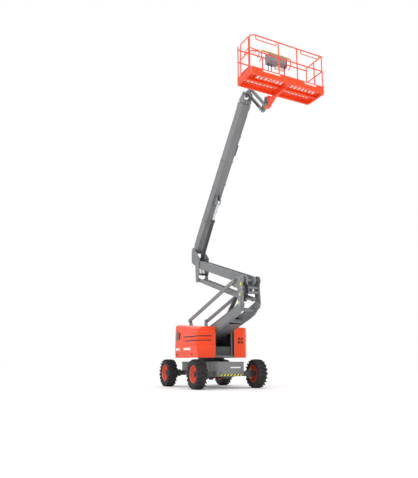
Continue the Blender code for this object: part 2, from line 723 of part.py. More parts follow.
def build_boom():
    lug_inner = ram_eye_half + running_gap
    pieces = [boom_box(0.16, boom_length, boom_width, boom_depth),
              boom_box(boom_length - 0.16, boom_length, boom_width + 0.03, boom_depth + 0.03),
              boom_box(0.10, 0.34, boom_width - 0.01, boom_depth - 0.03),
              cross_pin(boom_foot, -beam_span[1], beam_span[1], 0.075, 20),
              boom_box(-0.02, 0.20, boom_width - 0.02, 0.13)]
    pad_start = boom_length - 0.14
    cuts = [boom_box(0.42, pad_start, fly_width + 2 * running_gap, fly_depth + 2 * running_gap),
            boom_box(pad_start - 0.01, boom_length + 0.1, fly_width + 2 * seat_gap,
                     fly_depth + 2 * seat_gap),
            cross_pin(boom_foot, -0.3, 0.3, 0.04 + pin_gap, 20)]
    eye = boom_ram_eye
    lug = [(eye[0] - 0.22, -boom_depth / 2 + 0.01), (eye[0] - 0.05, eye[1] - 0.05),
           (eye[0] + 0.05, eye[1] - 0.05), (eye[0] + 0.24, -boom_depth / 2 + 0.01)]
    lug = [along(boom_foot, boom_angle, u, v) for u, v in lug]
    for span in mirrored((lug_inner, lug_inner + 0.025)):
        pieces.append(side_plate(lug, *span))
    part("boom_base", grey_paint, pieces, cuts, pivot=at(boom_foot))
    tip = boom_length + fly_reach
    head_y = ear_span[1]
    pieces = [boom_box(boom_length - fly_tail - fly_stroke - 0.45, tip - 0.20, fly_width, fly_depth),
              boom_box(tip - 0.27, tip - 0.17, 2 * head_y, fly_depth + 0.03)]
    ears = [(tip - 0.26, -0.14), (tip - 0.05, -0.10), (tip + 0.05, -0.05), (tip + 0.06, 0.04),
            (tip, 0.075), (tip - 0.16, 0.12), (tip - 0.26, 0.14)]
    ears = [along(boom_foot, boom_angle, u, v) for u, v in ears]
    for span in mirrored((ear_span[0], head_y + 0.001)):
        pieces.append(side_plate(ears, *span))
    pieces.append(cross_pin(jib_foot, -head_y - 0.01, head_y + 0.01, 0.030))
    hollow = [boom_box(0, boom_length - 0.05, fly_width - 2 * fly_wall, fly_depth - 2 * fly_wall)]
    part("boom_fly", grey_paint, pieces, hollow, pivot=at(boom_foot))


def build_hose_carrier():
    """Guide box on the base boom's belly, and the tube that slides through it to the fly."""
    side_y = boom_width / 2 + 0.045
    rise = -0.02
    spot = [along(boom_foot, boom_angle, u, v) for u, v in
            ((3.62, rise - 0.06), (3.98, rise - 0.06), (3.98, rise + 0.06), (3.62, rise + 0.06))]
    guide = side_plate(spot, boom_width / 2 + seat_gap, side_y + 0.045)
    bore = rod(at(along(boom_foot, boom_angle, 3.5, rise), side_y),
               at(along(boom_foot, boom_angle, 4.1, rise), side_y), 0.018 + running_gap, 16)
    part("hose_guide", dark_paint, [guide], [bore])
    start = at(along(boom_foot, boom_angle, 1.15, rise), side_y)
    end = at(along(boom_foot, boom_angle, boom_length + 0.30, rise), side_y)
    root_point = at(along(boom_foot, boom_angle, boom_length + 0.25, rise),
                    ear_span[1] + 0.001 + seat_gap)
    foot = at(along(boom_foot, boom_angle, boom_length + 0.25, rise), side_y + 0.03)
    part("hose_tube", plastic_grey, [rod(start, end, 0.016, 12), rod(root_point, foot, 0.024, 12)])


# ---- jib and platform --------------------------------------------------------------------
def build_jib_group():
    """Bracket held level, two parallel tubes, and the support that they keep level."""
    tube_low, tube_high = jib_tube_inner, jib_tube_inner + jib_tube_size
    outline = [(-0.09, -0.07), (0.04, -0.09), (0.13, -0.07), (0.17, -0.02), (0.20, 0.08),
               (0.17, 0.13), (0.11, 0.13), (0.02, 0.09), (-0.07, 0.06)]
    spots = [shift(jib_foot, point) for point in outline]
    drum = [side_plate(spots, -0.034, 0.034)]
    nose = shift(jib_foot, (0.11, -0.02))
    nose_high = shift(nose, jib_link_offset)
    drum.append(cross_pin(nose, -tube_high - 0.008, -0.03, jib_pin_radius))
    drum.append(cross_pin(nose_high, 0.03, tube_high + 0.008, jib_pin_radius))
    part("jib_bracket", grey_paint, drum,
         [cross_pin(jib_foot, -0.2, 0.2, 0.030 + pin_gap, 20)], pivot=at(jib_foot))
    return nose, nose_high, (tube_low, tube_high)


def build_jib_tubes(nose, nose_high, span):
    for name, foot, (low, high) in (("jib_lower_tube", nose, (-span[1], -span[0])),
                                    ("jib_upper_tube", nose_high, span)):
        head = along(foot, jib_angle, jib_length)
        pieces = [beam(foot, head, low, high, jib_tube_size),
                  boss(foot, low, high, 0.05), boss(head, low, high, 0.05)]
        bores = [cross_pin(point, low - 0.01, high + 0.01, jib_pin_radius + pin_gap)
                 for point in (foot, head)]
        part(name, grey_paint, pieces, bores, pivot=at(foot))


def build_platform_support(nose, nose_high, span):
    low, high = (along(point, jib_angle, jib_length) for point in (nose, nose_high))
    outline = [(-0.07, -0.07), (0.04, -0.09), (0.09, -0.05), (0.125, -0.01),
               (rotator_reach, -0.01), (rotator_reach, drum_height - 0.02),
               (0.12, drum_height - 0.02), (0.02, 0.15), (-0.06, 0.06)]
    pieces = [side_plate([shift(low, p) for p in outline], -0.034, 0.034),
              cross_pin(low, -span[1] - 0.008, -0.03, jib_pin_radius),
              cross_pin(high, 0.03, span[1] + 0.008, jib_pin_radius)]
    axis_x = low[0] + rotator_reach
    bottom, top = low[1] - 0.02, low[1] + drum_height
    pieces.append(rod((axis_x, 0, bottom), (axis_x, 0, top), 0.075, 24))
    part("platform_support", grey_paint, pieces, pivot=at(low))
    return axis_x, bottom, top


def build_rotator(axis_x, bottom, top):
    """Fork round the rotary drum, and the arm that runs under the floor."""
    arm_top = platform_bottom - seat_gap
    arm_end_x = platform_x + 0.16
    pieces = [rod((axis_x, 0, top + pin_gap), (axis_x, 0, top + 0.030), 0.085, 24),
              rod((axis_x, 0, bottom - 0.030), (axis_x, 0, bottom - pin_gap), 0.085, 24)]
    back = axis_x + 0.085
    pieces.append(block((axis_x, back + 0.04), (-0.05, 0.05), (top + pin_gap, top + 0.030)))
    pieces.append(block((axis_x, back + 0.04), (-0.05, 0.05), (bottom - 0.030, bottom - pin_gap)))
    pieces.append(block((back, back + 0.04), (-0.05, 0.05), (bottom - 0.030, top + 0.030)))
    arm = [(back + 0.001, bottom - 0.029), (back + 0.02, bottom + 0.13), (back + 0.20, arm_top),
           (arm_end_x, arm_top), (arm_end_x, arm_top - 0.05), (back + 0.30, arm_top - 0.07)]
    pieces.append(side_plate(arm, -0.045, 0.045))
    part("rotator_arm", orange_paint, pieces, pivot=(axis_x, 0, bottom))


def platform_box(x_low, x_high, y_low, y_high, z_low, z_high):
    return block((platform_x + x_low, platform_x + x_high), (y_low, y_high), (z_low, z_high))


def build_floor():
    """Floor frame with cut corners, a sheet over two bays, and toe boards round the edge."""
    half_x, half_y = platform_width / 2, platform_length / 2
    channel, board, cut = 0.05, 0.006, 0.02

    def outline(inset):
        x, y = half_x - inset, half_y - inset
        corners = [(-x, -y + cut), (-x + cut, -y), (x - cut, -y), (x, -y + cut),
                   (x, y - cut), (x - cut, y), (-x + cut, y), (-x, y - cut)]
        return [(platform_x + u, v) for u, v in corners]
    frame = plan_plate(outline(0), platform_bottom, floor_top + toe_height)
    hollow = [platform_box(-half_x + channel, half_x - channel, y0, y1, platform_bottom - 0.1,
                           floor_top - floor_sheet)
              for y0, y1 in ((-half_y + channel, -channel * 0.75),
                             (channel * 0.75, half_y - channel))]
    hollow.append(plan_plate(outline(board), floor_top, floor_top + toe_height + 0.1))
    part("platform_floor", orange_paint, [frame], hollow)


def build_rails():
    """Guard rail in four sections, with the gate on the right-hand end."""
    base = floor_top + seat_gap
    x0, x1 = (platform_x + s * (platform_width / 2 - post_inset) for s in (-1, 1))
    y1 = platform_length / 2 - post_inset
    top = rail_top - rail_radius
    heights = (top, floor_top + mid_rail_rise)
    r = rail_radius
    reach = y1 + 0.9 * r

    boom_top = top - boom_side_drop
    boom_side = [pipe([(x0, -reach, z), (x0, reach, z)], r) for z in (boom_top, heights[1])]
    for y, post_top in ((-y1, top), (-0.38, boom_top), (0.38, boom_top), (y1, top)):
        boom_side.append(rod((x0, y, base), (x0, y, post_top + (top - boom_top) * 0.2), r, 8))
    part("rails_boom_side", orange_paint, boom_side)
    joint_y = -y1 + corner_cut + 0.03
    corner = [pipe([(x1 - corner_cut, -y1, z), (x1, -y1 + corner_cut, z), (x1, joint_y, z)], r)
              for z in heights]
    corner.append(rod((x1 - corner_cut, -y1, base), (x1 - corner_cut, -y1, top), r, 8))
    outboard = [pipe([(x1, joint_y + seat_gap, z), (x1, reach, z)], r) for z in heights]
    for y in (-0.31, 0.31, y1):
        outboard.append(rod((x1, y, base), (x1, y, top), r, 8))
    for y_low, y_high in hand_holds:
        drop = top - 0.12
        loop = [(x1, y_low, top), (x1, y_low + 0.05, drop), (x1, y_high - 0.05, drop),
                (x1, y_high, top)]
        outboard.append(pipe(loop, r * 0.8))
    face_x = gate_hinge_x + gate_rail_radius + seat_gap
    for z in (floor_top + 0.30, top - 0.10):
        corner.append(block((face_x, x1 - corner_cut), (-y1 - 0.008, -y1 + 0.008), (z, z + 0.05)))
    part("rails_outboard", orange_paint, outboard)
    part("rails_corner", orange_paint, corner)
    end = [rod((x0 + r + seat_gap, y1, z), (x1 - r - seat_gap, y1, z), r, 8) for z in heights]
    end.append(rod((platform_x, y1, base), (platform_x, y1, top), r, 8))
    part("rails_end", orange_paint, end)


def build_gate():
    """Gate on the right-hand end, hinged on its outboard post and swinging inwards."""
    base = floor_top + toe_height + 0.03
    y = -(platform_length / 2 - post_inset)
    r = gate_rail_radius
    latch = platform_x - platform_width / 2 + post_inset + gate_post_step
    top = rail_top - rail_radius
    mid = floor_top + mid_rail_rise
    pieces = [rod((gate_hinge_x, y, base), (gate_hinge_x, y, top + r * 0.7), r, 16),
              rod((latch, y, base), (latch, y, top + r * 0.7), r, 8)]
    for z in (top, mid, base + 0.03):
        pieces.append(rod((latch, y, z), (gate_hinge_x, y, z), r, 8))
    part("entry_gate", orange_paint, pieces, pivot=(gate_hinge_x, y, base))


def build_console():
    """Control box hung inside the boom-side top rail."""
    x0 = platform_x - platform_width / 2 + post_inset + rail_radius + seat_gap
    top = rail_top - 0.02
    outline = [(x0, top - 0.30), (x0 + 0.20, top - 0.24), (x0 + 0.24, top - 0.05), (x0, top + 0.01)]
    pieces = [side_plate(outline, -0.30, 0.30)]
    part("control_console", plastic_grey, pieces)


# ---- assembly ----------------------------------------------------------------------------
build_chassis()
build_axles()
build_knuckles()
build_tie_rod()
build_wheels()
build_bearing()
build_deck()
build_counterweight()
build_engine()
build_hoods()
build_lower_arm()
build_links()
build_mid_upright()
build_upper_riser()
build_boom_upright()
build_ram("riser_cylinder", riser_ram_foot, riser_ram_head, riser_ram_radius, 1.28,
          0.36, 0.028, 0.075)
build_ram("boom_cylinder", boom_ram_foot, boom_ram_head, boom_ram_radius, 1.48,
          0.64, 0.030, 0.075)
build_boom()
build_hose_carrier()
nose_low, nose_high, jib_span = build_jib_group()
build_jib_tubes(nose_low, nose_high, jib_span)
support = build_platform_support(nose_low, nose_high, jib_span)
build_rotator(*support)
build_floor()
build_rails()
build_gate()
build_console()
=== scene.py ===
import json
import math
import bmesh
import bpy
from mathutils import Matrix, Vector


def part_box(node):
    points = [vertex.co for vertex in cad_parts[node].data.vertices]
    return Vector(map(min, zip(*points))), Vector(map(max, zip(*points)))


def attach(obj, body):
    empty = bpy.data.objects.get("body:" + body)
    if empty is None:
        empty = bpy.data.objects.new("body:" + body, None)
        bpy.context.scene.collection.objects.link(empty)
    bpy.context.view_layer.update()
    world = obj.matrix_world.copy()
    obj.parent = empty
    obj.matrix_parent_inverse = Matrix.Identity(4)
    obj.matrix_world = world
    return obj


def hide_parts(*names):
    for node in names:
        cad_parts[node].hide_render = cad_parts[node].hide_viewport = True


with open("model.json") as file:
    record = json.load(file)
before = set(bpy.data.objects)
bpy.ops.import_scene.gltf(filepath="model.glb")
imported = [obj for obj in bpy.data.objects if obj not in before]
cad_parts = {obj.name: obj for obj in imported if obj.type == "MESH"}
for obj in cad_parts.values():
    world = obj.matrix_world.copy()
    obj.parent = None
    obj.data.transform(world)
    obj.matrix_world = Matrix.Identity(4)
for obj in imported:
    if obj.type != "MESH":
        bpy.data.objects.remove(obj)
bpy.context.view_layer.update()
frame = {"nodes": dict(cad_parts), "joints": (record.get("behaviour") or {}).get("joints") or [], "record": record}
joints = {joint["name"]: Vector(joint["pos_m"]) for joint in frame["joints"] if "pos_m" in joint}


# camera: low down, in front of the platform end, looking up at the basket
camera = {"place": (13.443, -7.79, 0.811), "forward": (-0.8660, 0.4444, 0.2292), "lens": 38.91}
cameraData = bpy.data.cameras.new("camera")
cameraData.lens = camera["lens"]
cameraData.clip_end = 200
cameraObject = bpy.data.objects.new("camera", cameraData)
bpy.context.scene.collection.objects.link(cameraObject)
cameraObject.location = camera["place"]
cameraObject.rotation_euler = Vector(camera["forward"]).to_track_quat("-Z", "Y").to_euler()
bpy.context.scene.camera = cameraObject
print("camera placed")


# --- materials ---
def linear(hexColour):
    values = [int(hexColour[i:i + 2], 16) / 255 for i in (1, 3, 5)]
    return (*[v / 12.92 if v <= 0.04045 else ((v + 0.055) / 1.055) ** 2.4 for v in values], 1)


def addNode(tree, kind, settings, links=()):
    made = tree.nodes.new(kind)
    for key, value in settings.items():
        if isinstance(key, int) or key in made.inputs:
            made.inputs[key].default_value = value
        else:
            setattr(made, key, value)
    for key, source in dict(links).items():
        tree.links.new(source, made.inputs[key])
    return made


def perMm(sizeMm):
    return 1000 / sizeMm   # noise scale that gives features of this size


def makeFinish(name, look):
    material = bpy.data.materials.new(name)
    material.use_nodes = True
    tree = material.node_tree
    shader = tree.nodes["Principled BSDF"]
    for key in ("Metallic", "IOR", "Coat Weight", "Coat Roughness", "Sheen Weight",
                "Specular IOR Level", "Transmission Weight"):
        if key in look:
            shader.inputs[key].default_value = look[key]
    place = addNode(tree, "ShaderNodeTexCoord", {}).outputs["Object"]
    broad = addNode(tree, "ShaderNodeTexNoise", {"Scale": perMm(look["patchMm"]), "Detail": 4.0,
                                                 "Roughness": 0.6}, {"Vector": place})
    stretch = addNode(tree, "ShaderNodeMapping", {"Scale": look.get("stretch", (1, 1, 1))},
                      {"Vector": place})
    fine = addNode(tree, "ShaderNodeTexNoise", {"Scale": perMm(look["grainMm"]), "Detail": 3.0},
                   {"Vector": stretch.outputs[0]})
    tone = addNode(tree, "ShaderNodeValToRGB", {}, {"Fac": broad.outputs["Fac"]})
    tone.color_ramp.elements[0].position = 0.32
    tone.color_ramp.elements[0].color = linear(look["shade"])
    tone.color_ramp.elements[1].position = 0.68
    tone.color_ramp.elements[1].color = linear(look["colour"])
    colour = tone.outputs["Color"]
    rough = addNode(tree, "ShaderNodeMapRange", {"To Min": look["rough"][0],
                                                 "To Max": look["rough"][1]},
                    {"Value": fine.outputs["Fac"]}).outputs[0]
    if "dust" in look:   # dry road dust gathers low down
        height = addNode(tree, "ShaderNodeSeparateXYZ", {}, {0: place}).outputs["Z"]
        low = addNode(tree, "ShaderNodeMapRange", {"From Min": 1.3, "From Max": 0.1,
                                                   "To Max": look["dust"]}, {"Value": height})
        speckle = addNode(tree, "ShaderNodeTexNoise", {"Scale": perMm(90), "Detail": 6.0},
                          {"Vector": place})
        film = addNode(tree, "ShaderNodeMath", {"operation": "MULTIPLY"},
                       {0: low.outputs[0], 1: speckle.outputs["Fac"]})
        dusty = addNode(tree, "ShaderNodeMix", {"data_type": "RGBA", 7: linear("#8A8276")},
                        {0: film.outputs[0], 6: colour})
        colour = dusty.outputs[2]
    if "worn" in look:   # paint rubbed through along edges
        rounded = addNode(tree, "ShaderNodeBevel", {"samples": 4, "Radius": 0.012})
        face = addNode(tree, "ShaderNodeNewGeometry", {}).outputs["Normal"]
        turn = addNode(tree, "ShaderNodeVectorMath", {"operation": "DOT_PRODUCT"},
                       {0: rounded.outputs[0], 1: face}).outputs["Value"]
        chips = addNode(tree, "ShaderNodeTexNoise", {"Scale": perMm(25), "Detail": 5.0},
                        {"Vector": place}).outputs["Fac"]
        edge = addNode(tree, "ShaderNodeMapRange", {"From Min": 0.985, "From Max": 0.80},
                       {"Value": turn}).outputs[0]
        rub = addNode(tree, "ShaderNodeMath", {"operation": "MULTIPLY"}, {0: edge, 1: chips})
        mask = addNode(tree, "ShaderNodeMapRange", {"From Min": 0.30, "From Max": 0.52,
                                                    "To Max": 0.8}, {"Value": rub.outputs[0]})
        worn = addNode(tree, "ShaderNodeMix", {"data_type": "RGBA", 7: linear(look["worn"])},
                       {0: mask.outputs[0], 6: colour})
        colour = worn.outputs[2]
    bump = addNode(tree, "ShaderNodeBump", {"Strength": look.get("bump", 0.15),
                                            "Distance": look["grainMm"] / 4000},
                   {"Height": fine.outputs["Fac"]})
    tree.links.new(colour, shader.inputs["Base Color"])
    tree.links.new(rough, shader.inputs["Roughness"])
    tree.links.new(bump.outputs[0], shader.inputs["Normal"])
    return material


finishes = {
    # sprayed two-pack enamel on welded steel: bright gloss with a faint orange peel
    "orangeEnamel": {"colour": "#FA4A14", "shade": "#EC3F0E", "rough": (0.28, 0.42),
                     "patchMm": 700, "grainMm": 9, "IOR": 1.46, "Coat Weight": 0.12,
                     "Coat Roughness": 0.12, "dust": 0.10, "worn": "#C9694A", "bump": 0.10,
                     "Specular IOR Level": 0.32},
    # sprayed grey on the arms: a quieter gloss, so they read apart from the covers
    "greyEnamel": {"colour": "#7B7D7F", "shade": "#6D6F72", "rough": (0.34, 0.50),
                   "patchMm": 500, "grainMm": 9, "IOR": 1.5, "dust": 0.30,
                   "worn": "#A3A5A6", "bump": 0.12},
    # dark chassis paint: half gloss, so castings keep an edge in the shade
    "darkEnamel": {"colour": "#3A3C3F", "shade": "#2C2E30", "rough": (0.38, 0.55),
                   "patchMm": 300, "grainMm": 8, "IOR": 1.5, "dust": 0.35,
                   "worn": "#6B6C6D", "bump": 0.12},
    # filled tyre compound: matt black, greyed by dust in its skin
    "tyreRubber": {"colour": "#1C1D20", "shade": "#111214", "rough": (0.66, 0.88),
                   "patchMm": 160, "grainMm": 5, "IOR": 1.52, "dust": 0.12, "bump": 0.35},
    # wheel paint: deeper than the covers and dulled by road dust
    "rimEnamel": {"colour": "#EE3F1B", "shade": "#D23414", "rough": (0.30, 0.44),
                  "patchMm": 180, "grainMm": 8, "IOR": 1.5, "Coat Weight": 0.2, "dust": 0.38,
                  "worn": "#B0624A"},
    # ground and hard-chromed piston rod: mirror with fine turning marks
    "hardChrome": {"colour": "#D5D8DC", "shade": "#BFC3C8", "rough": (0.07, 0.16),
                   "patchMm": 120, "grainMm": 3, "Metallic": 1.0, "bump": 0.02},
    # sand casting under thin dark paint: pitted, dull
    "castIron": {"colour": "#46484A", "shade": "#333537", "rough": (0.55, 0.78),
                 "patchMm": 150, "grainMm": 14, "IOR": 1.5, "dust": 0.25, "bump": 0.6},
    # bright zinc plate on pins, caps and bolts: small hard glints
    "zincSteel": {"colour": "#B9BCBF", "shade": "#8F9296", "rough": (0.28, 0.50),
                  "patchMm": 60, "grainMm": 6, "Metallic": 1.0, "bump": 0.08},
    # extruded nitrile hose cover: satin black with a fine cloth mark
    "hoseRubber": {"colour": "#202123", "shade": "#151617", "rough": (0.45, 0.62),
                   "patchMm": 80, "grainMm": 4, "IOR": 1.52, "bump": 0.2},
    # grey moulding with a fine leather grain: dull and even
    "mouldedPlastic": {"colour": "#8E9296", "shade": "#7F8387", "rough": (0.42, 0.56),
                       "patchMm": 200, "grainMm": 4, "IOR": 1.46, "bump": 0.25},
    # black moulding on clamps and knobs: soft dark satin; also used as painted shade in the hood recesses and
    # vents
    "blackPlasticAndPaintedShade": {"colour": "#222426", "shade": "#18191B", "rough": (0.40, 0.58),
                     "patchMm": 120, "grainMm": 4, "IOR": 1.46, "bump": 0.25},
    # skinned foam: soft warm yellow with a low sheen
    "yellowFoam": {"colour": "#E3AE2C", "shade": "#CF9A22", "rough": (0.50, 0.66),
                   "patchMm": 120, "grainMm": 6, "IOR": 1.46, "bump": 0.2},
    # yellow sticker film, left blank: flat and even
    "yellowVinyl": {"colour": "#E2DB3E", "shade": "#D3CB36", "rough": (0.35, 0.48),
                    "patchMm": 100, "grainMm": 6, "IOR": 1.48, "bump": 0.04},
    # white sticker film, left blank: flat and even
    "whiteVinyl": {"colour": "#EFEDEA", "shade": "#E2DFDA", "rough": (0.35, 0.48),
                   "patchMm": 100, "grainMm": 6, "IOR": 1.48, "bump": 0.04},
    # red moulding: the one strong warning colour at the console
    "redPlastic": {"colour": "#D8231C", "shade": "#C01E18", "rough": (0.30, 0.42),
                   "patchMm": 60, "grainMm": 4, "IOR": 1.46, "bump": 0.1},
}
materials = {name: makeFinish(name, look) for name, look in finishes.items()}
cadFinish = {"orange_paint": "orangeEnamel", "grey_paint": "greyEnamel",
             "dark_paint": "darkEnamel", "tyre_rubber": "tyreRubber", "chrome": "hardChrome",
             "cast_iron": "castIron", "grey_plastic": "mouldedPlastic"}
for row in frame["record"]["subparts"]:
    if row["node"] in frame["nodes"]:
        node = frame["nodes"][row["node"]]
        node.data.materials.clear()
        node.data.materials.append(materials[cadFinish[row["material_slot"]]])
print("materials made:", len(materials))


# --- shaping helpers ---
def towards(start, end):
    start, end = Vector(start), Vector(end)
    turn = (end - start).to_track_quat("Z", "Y").to_matrix().to_4x4()
    return Matrix.Translation(start) @ turn, (end - start).length


def addBar(shape, start, end, radius, sides=16, endRadius=None):
    place, length = towards(start, end)
    bmesh.ops.create_cone(shape, cap_ends=True, segments=sides, radius1=radius,
                          radius2=radius if endRadius is None else endRadius, depth=length,
                          matrix=place @ Matrix.Translation((0, 0, length / 2)))


def addBox(shape, low, high, round_=0.0, place=None):
    low, high = Vector(map(min, low, high)), Vector(map(max, low, high))
    size = high - low
    matrix = Matrix.Translation((low + high) / 2) @ Matrix.Diagonal((*size, 1))
    made = bmesh.ops.create_cube(shape, size=1, matrix=(place or Matrix()) @ matrix)
    if round_:
        # each edge once, in a fixed order, so that every run cuts the same mesh
        edges = dict.fromkeys(edge for vert in made["verts"] for edge in vert.link_edges)
        bmesh.ops.bevel(shape, geom=list(edges), offset=round_, affect="EDGES", segments=2,
                        profile=0.5, material=-1)


def addPlate(shape, outline, thickness):
    face = shape.faces.new([shape.verts.new(point) for point in outline])
    pulled = bmesh.ops.extrude_face_region(shape, geom=[face])
    verts = [v for v in pulled["geom"] if isinstance(v, bmesh.types.BMVert)]
    bmesh.ops.translate(shape, verts=verts, vec=thickness)


def addTurned(shape, profile, place, sides=48):
    verts = [shape.verts.new(place @ Vector((r, 0, h))) for r, h in profile]
    edges = [shape.edges.new(pair) for pair in zip(verts, verts[1:] + verts[:1])]
    bmesh.ops.spin(shape, geom=verts + edges, cent=place.translation,
                   axis=place.to_3x3() @ Vector((0, 0, 1)), angle=math.tau, steps=sides,
                   use_merge=True)


def addTube(shape, points, radius, bend=0.06, sides=12):
    points = [Vector(point) for point in points]
    path = [points[0]]
    for before, corner, after in zip(points, points[1:], points[2:]):
        reach = min(bend, (corner - before).length * 0.45, (after - corner).length * 0.45)
        start = corner + (before - corner).normalized() * reach
        end = corner + (after - corner).normalized() * reach
        for i in range(6):
            t = i / 5
            path.append(start * (1 - t) ** 2 + corner * 2 * t * (1 - t) + end * t ** 2)
    path.append(points[-1])
    curve = bpy.data.curves.new("tube", "CURVE")
    curve.dimensions = "3D"
    curve.bevel_depth = radius
    curve.bevel_resolution = max(1, sides // 4 - 1)
    curve.use_fill_caps = True
    spline = curve.splines.new("POLY")
    spline.points.add(len(path) - 1)
    for spot, point in zip(spline.points, path):
        spot.co = (*point, 1)
    holder = bpy.data.objects.new("tube", curve)
    bpy.context.scene.collection.objects.link(holder)
    bpy.context.view_layer.update()
    mesh = bpy.data.meshes.new_from_object(holder.evaluated_get(
        bpy.context.evaluated_depsgraph_get()))
    shape.from_mesh(mesh)
    bpy.data.objects.remove(holder)
    bpy.data.meshes.remove(mesh)


def addBolt(shape, spot, direction, size=0.018):
    spot, direction = Vector(spot), Vector(direction).normalized()
    addBar(shape, spot, spot + direction * size * 0.18, size * 0.82, 16)
    addBar(shape, spot + direction * size * 0.18, spot + direction * size * 0.75, size * 0.58, 6)


def addPinCap(shape, spot, side, radius=0.05):
    spot = Vector(spot)
    out = Vector((0, side, 0))
    addBar(shape, spot, spot + out * 0.008, radius, 24)
    addBar(shape, spot + out * 0.008, spot + out * 0.016, radius * 0.55, 20)
    addBolt(shape, spot + Vector((radius * 0.7, 0, 0)) + out * 0.008, out, radius * 0.26)


def finishPiece(name, shape, finish, body, replaces=(), sharp=35):
    bmesh.ops.remove_doubles(shape, verts=shape.verts, dist=0.00002)
    bmesh.ops.recalc_face_normals(shape, faces=shape.faces)
    mesh = bpy.data.meshes.new(name)
    shape.to_mesh(mesh)
    shape.free()
    piece = bpy.data.objects.new(name, mesh)
    bpy.context.scene.collection.objects.link(piece)
    mesh.materials.append(materials[finish])
    mesh.shade_smooth()
    mesh.set_sharp_from_angle(angle=math.radians(sharp))
    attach(piece, body)
    if replaces:
        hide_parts(*replaces)
    return piece


def along(start, direction, u, rise=0.0, y=0.0):
    square = Vector((-direction.z, 0, direction.x))
    return start + direction * u + square * rise + Vector((0, y, 0))


# --- wheels ---
wheel = {"lugs": 20, "lugHeight": 0.034, "lugWidth": 0.046, "lugAngle": 24, "bolts": 10,
         "boltCircle": 0.092}


def buildTyre(end, side, sign):
    low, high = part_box(f"tyre_{end}_{side}")
    centre, radius, half = (low + high) / 2, (high.z - low.z) / 2, (high.y - low.y) / 2
    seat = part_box(f"rim_{end}_{side}")[1].z - centre.z + 0.0005
    tread = radius - wheel["lugHeight"]
    place = Matrix.Rotation(math.radians(-90), 4, "X")
    shape = bmesh.new()
    profile = [(seat, -half + 0.035), (seat + 0.016, -half + 0.012),
               (seat + 0.055, -half + 0.001), (tread - 0.06, -half + 0.006),
               (tread - 0.022, -half + 0.020), (tread - 0.004, -half + 0.05),
               (tread + 0.002, -half * 0.4), (tread + 0.002, half * 0.4),
               (tread - 0.004, half - 0.05), (tread - 0.022, half - 0.020),
               (tread - 0.06, half - 0.006), (seat + 0.055, half - 0.001),
               (seat + 0.016, half - 0.012), (seat, half - 0.035)]
    addTurned(shape, profile, place, 72)
    for ring in (-1, 1):   # bead ribs on both side walls
        addTurned(shape, [(seat + 0.028, ring * (half - 0.011)), (seat + 0.034, ring * half),
                          (seat + 0.042, ring * half), (seat + 0.048, ring * (half - 0.008))],
                  place, 72)
    step = math.tau / wheel["lugs"]
    for row, offset in ((-1, 0.0), (1, 0.5)):
        lug = bmesh.new()
        long, root = half * 0.98, tread - 0.012
        addBox(lug, (-wheel["lugWidth"] / 2, 0.004, root),
               (wheel["lugWidth"] / 2, long, radius))
        bmesh.ops.subdivide_edges(lug, edges=[e for e in lug.edges
                                              if abs((e.verts[0].co - e.verts[1].co).y) > 0.05],
                                  cuts=3)
        for vert in lug.verts:   # the lug leans back and rolls over the shoulder
            over = max(0, vert.co.y / long - 0.70)
            vert.co.x += math.tan(math.radians(wheel["lugAngle"])) * vert.co.y
            vert.co.x *= 1 - 0.12 * (vert.co.z > tread)
            if vert.co.z > tread:
                vert.co.z = math.sqrt(radius ** 2 - vert.co.x ** 2) - 0.055 * over
            else:
                vert.co.z = math.sqrt(root ** 2 - vert.co.x ** 2) - 0.10 * over
            vert.co.y *= row
        bmesh.ops.recalc_face_normals(lug, faces=lug.faces)
        mesh = bpy.data.meshes.new("lug")
        lug.to_mesh(mesh)
        lug.free()
        for i in range(wheel["lugs"]):
            before = len(shape.verts)
            shape.from_mesh(mesh)
            shape.verts.ensure_lookup_table()
            turn = Matrix.Rotation(sign * step * (i + offset), 4, "Y")
            bmesh.ops.transform(shape, matrix=turn, verts=shape.verts[before:])
        bpy.data.meshes.remove(mesh)
    bmesh.ops.translate(shape, verts=shape.verts, vec=centre)
    finishPiece(f"tyreTread_{end}_{side}", shape, "tyreRubber", f"wheel_{end}_{side}",
                [f"tyre_{end}_{side}"])


